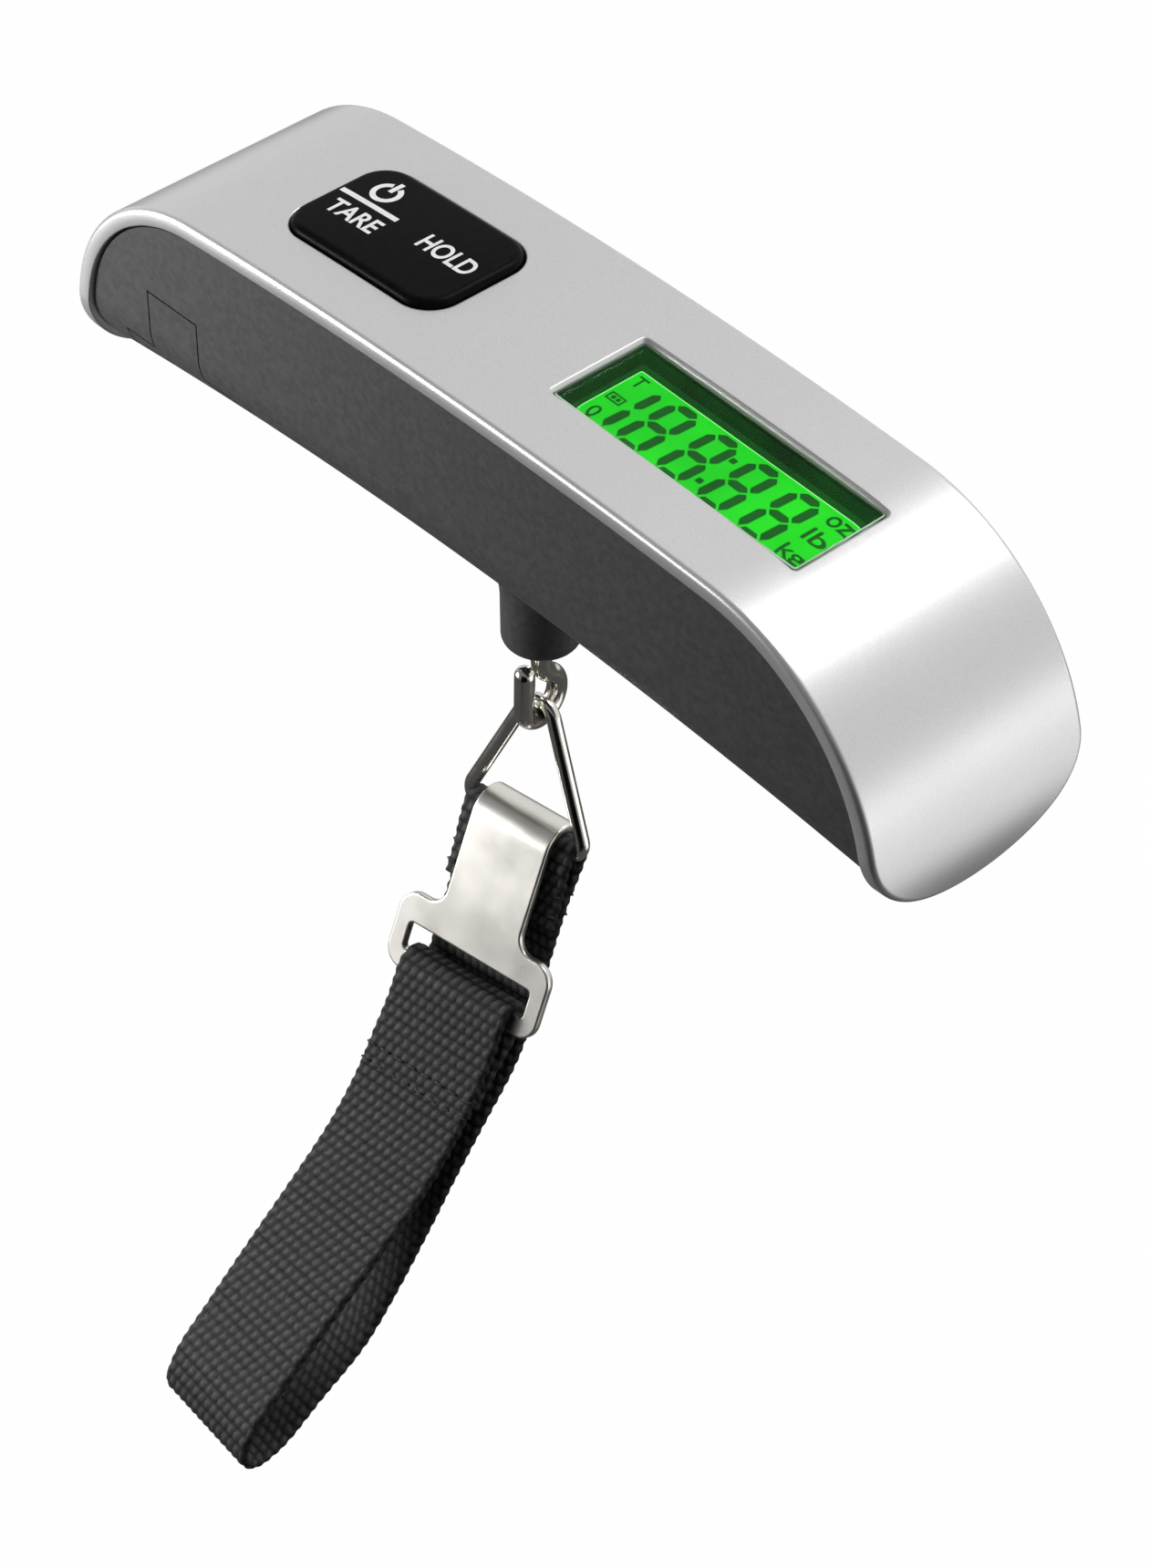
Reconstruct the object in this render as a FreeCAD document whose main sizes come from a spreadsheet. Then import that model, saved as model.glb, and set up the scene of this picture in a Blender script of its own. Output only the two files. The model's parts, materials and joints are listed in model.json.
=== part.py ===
import FreeCAD, Part
# Digital luggage scale: an arched hand grip with a display, a rocker keypad and
# a steel hook below, carrying a wire ring, a clasp plate and a webbing strap.
# Frame: +X along the grip towards the display, +Z up, origin on the hook's
# turning axis at the height where the grip's straight sides end.  Millimetres.
import math
import os
from FreeCAD import Vector, Placement, Rotation

DOC = FreeCAD.newDocument("LuggageScale")
SHEET = DOC.addObject("Spreadsheet::Sheet", "Sizes")

SIZES = {
    # grip envelope
    "arch_radius": 750.0, "arch_x": 3.0, "top_z": 26.2, "grip_left_x": -77.3,
    "left_sweep": 28.0, "right_sweep": 34.0, "right_sweep_x": 48.5,
    "cover_half_w": 19.25, "side_end_z": 3.5, "belly_depth": 14.0,
    "cover_wall": 2.6, "seam_gap": 0.4, "shell_half_w": 18.9, "shell_foot_half_w": 18.35,
    "shell_belly": 13.6, "shell_wall": 2.0, "lip_half_w": 17.5,
    # boss under the grip
    "boss_r": 5.75, "boss_bottom_z": -27.6, "boss_flare_r": 12.5, "boss_top_z": -6.0,
    "boss_bore_r": 3.2, "neck_bore_r": 1.56, "neck_wall": 2.6,
    # window and keypad
    "window_x": 32.7, "window_len": 45.0, "window_wid": 16.6,
    "keypad_x": -27.8, "keypad_len": 31.0, "keypad_wid": 20.0, "keypad_corner": 5.0,
    "keypad_gap": 0.3, "keypad_proud": 1.0,
    # display stack
    "lens_gap": 0.2, "lens_thk": 1.0, "bezel_wall": 0.35, "glass_len": 47.5, "glass_wid": 20.0,
    "glass_thk": 1.8, "light_thk": 2.2, "holder_wall": 1.0,
    # board
    "board_z": 10.6, "board_thk": 1.6, "board_left_x": -47.0, "board_right_x": 58.0,
    "board_half_w": 14.6,
    # load cell
    "beam_left_x": -7.0, "beam_len": 44.0, "beam_wid": 12.0, "beam_hgt": 6.0, "beam_z": -2.6,
    "beam_screw_a": 24.0, "beam_screw_b": 32.0, "cell_screw_r": 1.5,
    # fasteners
    "screw_r": 1.15, "screw_head_r": 2.2, "screw_head_h": 1.6, "screw_len": 12.0, "post_r": 2.9,
    "screw_left_x": -6.5, "screw_left_y": 11.5, "screw_left_z": -4.0,
    "screw_right_x": 62.0, "screw_right_y": 9.0, "screw_right_z": -7.6,
    # battery bay
    "cell_x": -56.5, "cell_r": 10.0, "cell_thk": 3.2, "cell_z": -6.6,
    "door_tab_left": -61.6, "door_tab_right": -51.2, "door_tab_top": 6.9,
    "door_pan_left": -67.6, "door_pan_right": -45.4, "door_split_z": -3.2, "door_gap": 0.26,
    "door_far_y": 14.7,
    # hook
    "rod_r": 1.5, "bowl_r": 3.6, "bowl_z": -38.2, "shank_top_z": 9.6, "tip_z": -32.0,
    "bend_top_z": -31.4, "hang_yaw": 8.0,
    # ring
    "wire_r": 1.1, "ring_half_w": 10.9, "ring_height": 22.4, "ring_lean": 8.0,
    "ring_apex_r": 2.9, "ring_corner_r": 2.4,
    # clasp plate
    "plate_thk": 1.4, "plate_neck": 14.0, "plate_len": 27.8, "plate_wid": 28.0,
    "slot_len": 22.6, "slot_hgt": 4.4, "slot_bar": 3.2, "plate_lean": 25.0, "fold_r": 2.75,
    # webbing
    "web_wid": 20.0, "web_thk": 1.3,
}


def fill_sheet():
    for row, (alias, value) in enumerate(SIZES.items(), start=1):
        cell = "B%d" % row
        SHEET.set("A%d" % row, alias)
        SHEET.set(cell, str(value))
        SHEET.setAlias(cell, alias)
    DOC.recompute()


def size(alias):
    return float(SHEET.get(alias))


def bind(obj, prop, formula):
    """Ties one property of an object to the sheet; aliases are written with @."""
    obj.setExpression(prop, formula.replace("@", "Sizes."))
    return obj


# ---------------------------------------------------------------- helpers
def add_sketch(name, edges, placement):
    sk = DOC.addObject("Sketcher::SketchObject", name)
    for edge in edges:
        sk.addGeometry(edge, False)
    sk.Placement = placement
    return sk


UPRIGHT = Rotation(Vector(1, 0, 0), 90)           # sketch x,y -> X,Z
SIDEWAYS = Rotation(Vector(1, 1, 1), 120)         # sketch x,y -> Y,Z


def line(p, q):
    return Part.LineSegment(Vector(p[0], p[1], 0), Vector(q[0], q[1], 0))


def arc3(p, mid, q):
    return Part.Arc(Vector(p[0], p[1], 0), Vector(mid[0], mid[1], 0), Vector(q[0], q[1], 0))


def loop(points):
    return [line(a, b) for a, b in zip(points, points[1:] + points[:1])]


def extrude(name, sketch, direction, formula, both=True):
    ext = DOC.addObject("Part::Extrusion", name)
    ext.Base = sketch
    ext.DirMode = "Custom"
    ext.Dir = direction
    ext.Solid = True
    ext.Symmetric = both
    bind(ext, "LengthFwd", formula)
    return ext


def revolve(name, sketch, base, axis, angle, both):
    rev = DOC.addObject("Part::Revolution", name)
    rev.Source = sketch
    rev.Base = base
    rev.Axis = axis
    rev.Angle = angle
    rev.Solid = True
    rev.Symmetric = both
    return rev


def box(name, xlen, ylen, zlen, corner):
    obj = DOC.addObject("Part::Box", name)
    for prop, formula in (("Length", xlen), ("Width", ylen), ("Height", zlen)):
        bind(obj, prop, formula)
    for axis, formula in zip("xyz", corner):
        bind(obj, "Placement.Base.%s" % axis, formula)
    return obj


def cylinder(name, radius, height, base, rotation=None):
    obj = DOC.addObject("Part::Cylinder", name)
    if rotation is not None:
        obj.Placement = Placement(Vector(0, 0, 0), rotation)
    bind(obj, "Radius", radius)
    bind(obj, "Height", height)
    for axis, formula in zip("xyz", base):
        bind(obj, "Placement.Base.%s" % axis, formula)
    return obj


def cut(name, base, tool):
    obj = DOC.addObject("Part::Cut", name)
    obj.Base = base
    obj.Tool = tool
    return obj


def common(name, base, tool):
    obj = DOC.addObject("Part::Common", name)
    obj.Base = base
    obj.Tool = tool
    return obj


def fuse(name, shapes):
    obj = DOC.addObject("Part::MultiFuse", name)
    obj.Shapes = shapes
    return obj


def group(name, shapes):
    obj = DOC.addObject("Part::Compound", name)
    obj.Links = shapes
    return obj


NODES = []


def node(obj, label):
    obj.Label = label
    NODES.append(obj)
    return obj


# ---------------------------------------------------------------- grip envelope
def arch_axis_z():
    return size("top_z") - size("arch_radius")


def top_height(x, inset=0.0):
    """Height of the arched top face, or of a face the given inset below it."""
    reach = size("arch_radius") - inset
    return arch_axis_z() + math.sqrt(reach ** 2 - (x - size("arch_x")) ** 2)


def side_outline(inset, floor_z=-45.0):
    """The grip seen from the side, shrunk by the inset; open-ended below."""
    big = size("arch_radius")
    ax, az = size("arch_x"), arch_axis_z()
    lx = size("grip_left_x") + size("left_sweep")
    lz = az + math.sqrt((big - size("left_sweep")) ** 2 - (lx - ax) ** 2)
    rx = size("right_sweep_x")
    rz = az + math.sqrt((big - size("right_sweep")) ** 2 - (rx - ax) ** 2)
    lr, rr, tr = size("left_sweep") - inset, size("right_sweep") - inset, big - inset

    def on_circle(cx, cz, r, ang):
        return (cx + r * math.cos(ang), cz + r * math.sin(ang))

    a_left = math.atan2(lz - az, lx - ax)
    a_right = math.atan2(rz - az, rx - ax)
    l_top = on_circle(ax, az, tr, a_left)
    r_top = on_circle(ax, az, tr, a_right)
    l_low = (lx - lr, lz)
    tuck = math.radians(-32.0)
    r_low = on_circle(rx, rz, rr, tuck)
    edges = [
        arc3(l_low, on_circle(lx, lz, lr, (math.pi + a_left) / 2), l_top),
        arc3(l_top, on_circle(ax, az, tr, (a_left + a_right) / 2), r_top),
        arc3(r_top, on_circle(rx, rz, rr, (a_right + tuck) / 2), r_low),
        line(r_low, (r_low[0], floor_z)),
        line((r_low[0], floor_z), (l_low[0], floor_z)),
        line((l_low[0], floor_z), l_low),
    ]
    return edges


def side_block(name, inset):
    sk = add_sketch(name + "Outline", side_outline(inset), Placement(Vector(0, 0, 0), UPRIGHT))
    return extrude(name + "Block", sk, Vector(0, 1, 0), "@cover_half_w * 2 + 4")


def arched_section(name, head_half, foot_half, belly, crown_z=30.0):
    """A U-shaped cross-section swept round the arch of the grip."""
    foot_z = size("side_end_z")
    low = Part.Ellipse(Vector(0, foot_z, 0), max(foot_half, belly), min(foot_half, belly))
    half = Part.ArcOfEllipse(low, math.pi, 2 * math.pi)
    edges = [
        half,
        line((foot_half, foot_z), (head_half, crown_z)),
        line((head_half, crown_z), (-head_half, crown_z)),
        line((-head_half, crown_z), (-foot_half, foot_z)),
    ]
    sk = add_sketch(name + "Section", edges, Placement(Vector(size("arch_x"), 0, 0), SIDEWAYS))
    pivot = Vector(size("arch_x"), 0, arch_axis_z())
    return revolve(name + "Arch", sk, pivot, Vector(0, 1, 0), 16.0, True)


def envelope(name, inset, head_half, foot_half, belly):
    arch = arched_section(name, head_half, foot_half, belly)
    return common(name + "Body", arch, side_block(name, inset))


def tilt_at(x):
    """Turn about Y that lays a flat piece along the arch at this X."""
    return math.degrees(math.asin((x - size("arch_x")) / size("arch_radius")))


def arch_place(x, depth):
    """Placement on the arch: local z=0 lies the given depth under the top face."""
    slope = math.radians(tilt_at(x))
    reach = size("arch_radius") - depth
    base = Vector(size("arch_x") + reach * math.sin(slope), 0,
                  arch_axis_z() + reach * math.cos(slope))
    return Placement(base, Rotation(Vector(0, 1, 0), tilt_at(x)))


def rounded_rect(length, width, corner):
    """Edges of a rounded rectangle centred on the origin."""
    hx, hy, c = length / 2, width / 2, corner
    k = c * (1 - math.sqrt(0.5))
    return [
        line((-hx + c, -hy), (hx - c, -hy)),
        arc3((hx - c, -hy), (hx - k, -hy + k), (hx, -hy + c)),
        line((hx, -hy + c), (hx, hy - c)),
        arc3((hx, hy - c), (hx - k, hy - k), (hx - c, hy)),
        line((hx - c, hy), (-hx + c, hy)),
        arc3((-hx + c, hy), (-hx + k, hy - k), (-hx, hy - c)),
        line((-hx, hy - c), (-hx, -hy + c)),
        arc3((-hx, -hy + c), (-hx + k, -hy + k), (-hx + c, -hy)),
    ]


def pad_on_arch(name, edges, x, depth, formula, direction):
    sk = add_sketch(name + "Shape", edges, arch_place(x, depth))
    normal = arch_place(x, depth).Rotation.multVec(Vector(0, 0, direction))
    return extrude(name, sk, normal, formula, both=False)


# ---------------------------------------------------------------- shells
def screw_places():
    """Index and sheet formulas of x, y and seat height of the four casing screws."""
    places = []
    for end in ("left", "right"):
        for sign in (-1, 1):
            places.append((len(places), "@screw_%s_x" % end, "@screw_%s_y * %d" % (end, sign),
                           "@screw_%s_z" % end))
    return places


def casing_posts():
    """Four posts under the cover that the casing screws bite into."""
    posts = []
    for i, x, y, _ in screw_places():
        post = cylinder("CoverPost%d" % i, "@post_r", "30", (x, y, "-1.5"))
        hole = cylinder("CoverPostHole%d" % i, "@screw_r - 0.12", "12", (x, y, "-2"))
        posts.append(cut("CoverPostCut%d" % i, post, hole))
    joined = fuse("CoverPosts", posts)
    return common("CoverPostsTrim", joined, side_block("PostTrim", size("cover_wall") - 0.3))


def make_cover():
    w = size("cover_half_w")
    outer = envelope("CoverOuter", 0.0, w, w, size("belly_depth"))
    inner = side_block("CoverInner", size("cover_wall"))
    band = cut("CoverBand", outer, inner)
    window = pad_on_arch("WindowCut", rounded_rect(size("window_len"), size("window_wid"), 0.5),
                         size("window_x"), 4.5, "8", 1)
    gap = 2 * size("keypad_gap")
    keys = pad_on_arch("KeypadCut",
                       rounded_rect(size("keypad_len") + gap, size("keypad_wid") + gap,
                                    size("keypad_corner") + size("keypad_gap")),
                       size("keypad_x"), 4.5, "8", 1)
    tools = fuse("CoverOpenings", [window, keys])
    return node(fuse("CoverWhole", [cut("CoverPlate", band, tools), casing_posts()]), "top_cover")


def boss_solid():
    """The flared boss the hook comes out of, as a turned shape."""
    r, low, high = size("boss_r"), size("boss_bottom_z"), size("boss_top_z")
    flare = size("boss_flare_r")
    edge = 1.6
    k = edge * (1 - math.sqrt(0.5))
    waist = low + 8.6
    edges = [
        line((0, low), (r - edge, low)),
        arc3((r - edge, low), (r - k, low + k), (r, low + edge)),
        line((r, low + edge), (r + 0.15, waist)),
        arc3((r + 0.15, waist), (r + 1.75, waist + 6.6), (flare, high)),
        line((flare, high), (0, high)),
        line((0, high), (0, low)),
    ]
    sk = add_sketch("BossProfile", edges, Placement(Vector(0, 0, 0), UPRIGHT))
    return revolve("Boss", sk, Vector(0, 0, 0), Vector(0, 0, 1), 360.0, False)


def door_zone(name, gap):
    """The region of the shell that belongs to the battery door."""
    g = str(gap)
    tab = box(name + "Tab", "@door_tab_right - @door_tab_left + 2 * " + g,
              "@cover_half_w", "@door_tab_top - @door_split_z + 1 + " + g,
              ("@door_tab_left - " + g, "-@cover_half_w - 1", "@door_split_z - 1"))
    pan = box(name + "Pan", "@door_pan_right - @door_pan_left + 2 * " + g,
              "@cover_half_w + @door_far_y + " + g, "@door_split_z + 30 + " + g,
              ("@door_pan_left - " + g, "-@cover_half_w", "-30"))
    return fuse(name + "Zone", [tab, pan])


def shell_solid():
    inset = size("cover_wall") + size("seam_gap")
    main = envelope("ShellOuter", inset, size("shell_half_w"), size("shell_foot_half_w"),
                    size("shell_belly"))
    lip_w = size("lip_half_w")
    lip = envelope("ShellLip", size("cover_wall") + 0.05, lip_w, lip_w, size("shell_belly") - 1.2)
    return fuse("ShellSolid", [main, lip, boss_solid()])


def shell_cavity():
    wall = size("shell_wall")
    inset = size("cover_wall") + size("seam_gap") + wall
    inside = envelope("ShellRoom", inset, size("lip_half_w") - 1.2, size("lip_half_w") - 1.2,
                      size("shell_belly") - wall)
    mouth = box("ShellMouth", "120", "@lip_half_w * 2 - 2.4", "20",
                ("-54", "-@lip_half_w + 1.2", "12"))
    return fuse("ShellCavity", [inside, mouth])


def shell_seats():
    """Pads inside the shell: four screw sleeves, the load-cell seat and the boss plug."""
    seats = []
    for i, x, y, _ in screw_places():
        seats.append(cylinder("Sleeve%d" % i, "@post_r + 0.6", "14", (x, y, "-15.6")))
    seats.append(box("BeamSeat", "15", "@beam_wid", "@beam_z + 15",
                     ("@beam_screw_a - 4", "-@beam_wid / 2", "-15")))
    seats.append(cylinder("NeckPlug", "@boss_r + 0.5", "8", ("0", "0", "-14")))
    joined = fuse("ShellSeats", seats)
    w = size("shell_foot_half_w")
    trim = envelope("SeatTrim", 4.0, w - 0.9, w - 0.9, size("shell_belly") - 0.9)
    return common("ShellSeatsTrim", joined, trim)


def shell_holes():
    holes = []
    for i, x, y, z in screw_places():
        holes.append(cylinder("SleeveBore%d" % i, "@screw_r + 0.2", "30", (x, y, "-25")))
        holes.append(cylinder("SleeveHead%d" % i, "@screw_head_r + 0.3", "20",
                              (x, y, z + " - 20")))
    for i, alias in enumerate(("beam_screw_a", "beam_screw_b")):
        holes.append(cylinder("SeatBore%d" % i, "@cell_screw_r + 0.1", "30", ("@" + alias, "0", "-25")))
        holes.append(cylinder("SeatHead%d" % i, "3.2", "17", ("@" + alias, "0", "-25")))
    holes.append(cylinder("BossBore", "@boss_bore_r", "40",
                          ("0", "0", "@boss_bottom_z + @neck_wall")))
    holes.append(cylinder("NeckBore", "@neck_bore_r", "@neck_wall + 2",
                          ("0", "0", "@boss_bottom_z - 1")))
    return fuse("ShellHoles", holes)


def make_shell_and_door():
    hollow = cut("ShellHollow", shell_solid(), shell_cavity())
    seated = fuse("ShellSeated", [hollow, shell_seats()])
    drilled = cut("ShellDrilled", seated, shell_holes())
    shell = cut("ShellFinal", drilled, door_zone("DoorRoom", size("door_gap")))
    node(shell, "lower_shell")
    leaf = common("DoorLeaf", drilled, door_zone("DoorSkin", 0.0))
    return node(leaf, "battery_door")


# ---------------------------------------------------------------- keypad
SWITCH_X = (-9.2, 9.2)                   # the two switches, from the keypad's middle
SWITCH_TOP = 1.6 + 2.4 + 0.9             # their stems' height over the board's underside


def make_keypad():
    """One rubber rocker pad with a flange held under the cover and two feet."""
    proud = size("keypad_proud")
    x = size("keypad_x")
    gap = size("cover_wall") + 0.25
    pad = pad_on_arch("KeypadPad", rounded_rect(size("keypad_len"), size("keypad_wid"),
                                                size("keypad_corner")),
                      x, -proud, "@keypad_proud + @cover_wall + 1.4", -1)
    flange = pad_on_arch("KeypadFlange", rounded_rect(size("keypad_len") + 2.4,
                                                      size("keypad_wid") + 2.4,
                                                      size("keypad_corner") + 1.2),
                         x, gap + 0.5, "0.9", -1)
    feet = []
    place = arch_place(x, gap)
    for i, dx in enumerate(SWITCH_X):
        sk = add_sketch("KeypadFootShape%d" % i, [Part.Circle(Vector(dx, 0, 0), Vector(0, 0, 1), 2.2)],
                        place)
        reach = place.multVec(Vector(dx, 0, 0)).z - SWITCH_TOP - size("board_z") - 0.42
        feet.append(extrude("KeypadFoot%d" % i, sk, place.Rotation.multVec(Vector(0, 0, -1)),
                            str(round(reach, 3)), both=False))
    whole = fuse("KeypadWhole", [pad, flange] + feet)
    return node(whole, "keypad")


# ---------------------------------------------------------------- display
LENS_TOP = 0.85          # depth of each layer's upper face under the grip's top
BEZEL_TOP = 1.9
FLANGE_TOP = 3.5
GLASS_TOP = 4.3
LIGHT_TOP = 6.15


def make_display():
    x = size("window_x")
    long = size("window_len") - 2 * size("lens_gap")
    wide = size("window_wid") - 2 * size("lens_gap")
    lens = pad_on_arch("Lens", rounded_rect(long, wide, 0.3), x, LENS_TOP, "@lens_thk", -1)
    node(lens, "lcd_window")
    rim = 2 * size("bezel_wall")
    collar = pad_on_arch("BezelCollar", rounded_rect(long, wide, 0.3), x, BEZEL_TOP, "2.3", -1)
    flange = pad_on_arch("BezelFlange", rounded_rect(long + 2.6, wide + 3.6, 1.0), x, FLANGE_TOP, "0.7", -1)
    well = pad_on_arch("BezelWell", rounded_rect(long - rim, wide - rim, 0.3), x, LENS_TOP, "5", -1)
    node(cut("BezelWhole", fuse("BezelSolid", [collar, flange]), well), "display_bezel")
    glass = pad_on_arch("Glass", rounded_rect(size("glass_len"), size("glass_wid"), 0.3), x,
                        GLASS_TOP, "@glass_thk", -1)
    node(glass, "lcd_glass")
    light = pad_on_arch("Light", rounded_rect(size("glass_len") - 1.5, size("glass_wid") - 5.2, 0.4), x,
                        LIGHT_TOP, "@light_thk", -1)
    node(light, "lcd_backlight")
    wall = size("holder_wall")
    outer = pad_on_arch("HolderOuter", rounded_rect(size("glass_len") + 2 * wall + 0.2,
                                                    size("glass_wid") + 2 * wall + 0.2, 1.0),
                        x, GLASS_TOP + 0.1, "8", -1)
    inner = pad_on_arch("HolderInner", rounded_rect(size("glass_len") + 0.2,
                                                    size("glass_wid") + 0.2, 0.4),
                        x, GLASS_TOP - 0.5, "2.4 + 0.1", -1)
    room = pad_on_arch("HolderRoom", rounded_rect(size("glass_len") - 1.3,
                                                  size("glass_wid") - 3.8, 0.4),
                       x, GLASS_TOP, "4.35", -1)
    strip_room = pad_on_arch("HolderStripRoom", offset_rect(42.4, 1.9, 8.35), x, GLASS_TOP, "9", -1)
    holder = cut("HolderWhole", outer, fuse("HolderTools", [inner, room, strip_room]))
    node(holder, "lcd_holder")
    strip_len = top_height(x) - GLASS_TOP - size("glass_thk") - size("board_z") - size("board_thk")
    strip = pad_on_arch("Zebra", offset_rect(42.0, 1.5, 8.35), x,
                        GLASS_TOP + size("glass_thk") + 0.02, str(round(strip_len - 0.95, 3)), -1)
    node(strip, "zebra_strip")


def offset_rect(length, width, y):
    hx, hy = length / 2, width / 2
    return loop([(-hx, y - hy), (hx, y - hy), (hx, y + hy), (-hx, y + hy)])


# ---------------------------------------------------------------- board
def make_board():
    plate = box("BoardPlate", "@board_right_x - @board_left_x", "@board_half_w * 2", "@board_thk",
                ("@board_left_x", "-@board_half_w", "@board_z"))
    holes = []
    for i, x, y, _ in screw_places()[:2]:
        holes.append(cylinder("BoardPostHole%d" % i, "@post_r + 0.4", "6", (x, y, "@board_z - 2")))
    board = cut("BoardWhole", plate, fuse("BoardHoles", holes))
    node(board, "main_board")
    parts = []
    for i, dx in enumerate(SWITCH_X):
        at = "@keypad_x + %s" % dx
        parts.append(box("SwitchCase%d" % i, "6", "6", "2.4",
                         (at + " - 3", "-3", "@board_z + @board_thk")))
        parts.append(cylinder("SwitchStem%d" % i, "1.7", "0.9",
                              (at, "0", "@board_z + @board_thk + 2.4")))
    pair = [fuse("Switch%d" % i, parts[2 * i:2 * i + 2]) for i in range(2)]
    node(group("SwitchPair", pair), "tact_switches")
    ball = DOC.addObject("Part::Sphere", "ChipBall")
    bind(ball, "Radius", "12")
    ball.Placement = Placement(Vector(44, 4, size("board_z") + 10.2), Rotation())
    slab = box("ChipSlab", "14", "14", "1.8", ("37", "-3", "@board_z - 1.8"))
    node(common("ChipDome", ball, slab), "control_chip")


# ---------------------------------------------------------------- load cell
def make_load_cell():
    bar = box("BeamBar", "@beam_len", "@beam_wid", "@beam_hgt",
              ("@beam_left_x", "-@beam_wid / 2", "@beam_z"))
    tools = [cylinder("BeamNeckHole", "@rod_r + 0.06", "20", ("0", "0", "@beam_z - 5"))]
    for i, x in enumerate((10.0, 16.0)):
        tools.append(cylinder("BeamEye%d" % i, "2.3", "30", (str(x), "15", "@beam_z + @beam_hgt / 2"),
                              Rotation(Vector(1, 0, 0), 90)))
    for i, alias in enumerate(("beam_screw_a", "beam_screw_b")):
        tools.append(cylinder("BeamTap%d" % i, "@cell_screw_r", "20", ("@" + alias, "0", "@beam_z - 5")))
    node(cut("BeamWhole", bar, fuse("BeamTools", tools)), "load_cell")
    gauges = []
    for i, x in enumerate((7.5, 13.5)):
        gauges.append(box("Gauge%d" % i, "5", "4", "0.15", (str(x), "-2", "@beam_z + @beam_hgt")))
    node(group("Gauges", gauges), "strain_gauges")
    bolts = []
    for i, alias in enumerate(("beam_screw_a", "beam_screw_b")):
        head = cylinder("CellBoltHead%d" % i, "2.8", "2.2", ("@" + alias, "0", "-10.2"))
        stem = cylinder("CellBoltStem%d" % i, "@cell_screw_r", "11", ("@" + alias, "0", "-8"))
        slot = box("CellBoltSlot%d" % i, "4.4", "0.9", "1", ("@" + alias + " - 2.2", "-0.45", "-10.2"))
        bar2 = box("CellBoltSlotB%d" % i, "0.9", "4.4", "1", ("@" + alias + " - 0.45", "-2.2", "-10.2"))
        whole = fuse("CellBoltSolid%d" % i, [head, stem])
        bolts.append(cut("CellBolt%d" % i, whole, fuse("CellBoltCross%d" % i, [slot, bar2])))
    node(group("CellBolts", bolts), "load_cell_screws")


def make_casing_screws():
    screws = []
    for i, x, y, seat in screw_places():
        low = seat + " - @screw_head_h"
        head = cylinder("CaseHead%d" % i, "@screw_head_r", "@screw_head_h", (x, y, low))
        stem = cylinder("CaseStem%d" % i, "@screw_r", "@screw_len", (x, y, seat + " - 0.5"))
        slot = box("CaseSlot%d" % i, "3", "0.7", "0.8", (x + " - 1.5", y + " - 0.35", low))
        slot2 = box("CaseSlotB%d" % i, "0.7", "3", "0.8", (x + " - 0.35", y + " - 1.5", low))
        body = fuse("CaseSolid%d" % i, [head, stem])
        screws.append(cut("CaseScrew%d" % i, body, fuse("CaseCross%d" % i, [slot, slot2])))
    return node(group("CaseScrews", screws), "casing_screws")


# ---------------------------------------------------------------- battery bay
def make_battery_bay():
    coin = cylinder("Coin", "@cell_r", "@cell_thk", ("@cell_x", "0", "@cell_z"))
    node(coin, "coin_cell")
    rim = cylinder("TrayRim", "@cell_r + 1.6", "5.4", ("@cell_x", "0", "@cell_z + 1.2"))
    room = cylinder("TrayRoom", "@cell_r + 0.25", "@cell_thk + 0.4", ("@cell_x", "0", "@cell_z + 0.2"))
    slot = box("TraySlot", "6", "5", "12", ("@cell_x - 3", "@cell_r - 2.6", "@cell_z - 3"))
    node(cut("TrayWhole", rim, fuse("TrayTools", [room, slot])), "battery_holder")
    finger = box("ContactFinger", "4.6", "8", "0.25",
                 ("@cell_x - 2.3", "@cell_r - 8.2 - 1.6", "@cell_z + @cell_thk"))
    node(finger, "contact_negative")
    clip = box("ContactClip", "4.6", "0.25", "6",
               ("@cell_x - 2.3", "@cell_r + 0.02", "@cell_z + 0.4"))
    node(clip, "contact_positive")


# ---------------------------------------------------------------- hanging parts
def pipe_along(edges, radius):
    """A round bar swept along straight runs and tangent arcs."""
    wire = Part.Wire(edges)
    start = edges[0].valueAt(edges[0].FirstParameter)
    heading = edges[0].tangentAt(edges[0].FirstParameter)
    disc = Part.Wire(Part.makeCircle(radius, start, heading))
    return wire.makePipeShell([disc], True, False)


def arc_edge(a, b, c):
    return Part.Arc(a, b, c).toShape()


def feature(name, shape, placement):
    obj = DOC.addObject("Part::Feature", name)
    obj.Shape = shape
    obj.Placement = placement
    return obj


def yawed():
    return Placement(Vector(0, 0, 0), Rotation(Vector(0, 0, 1), size("hang_yaw")))


def leaned(alias, pivot):
    """Hanging piece leaned about its pivot (local x), then yawed with the hook."""
    turn = Rotation(Vector(1, 0, 0), -size(alias))
    lean = Placement(pivot, Rotation()).multiply(Placement(Vector(0, 0, 0), turn))
    return yawed().multiply(lean)


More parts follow.
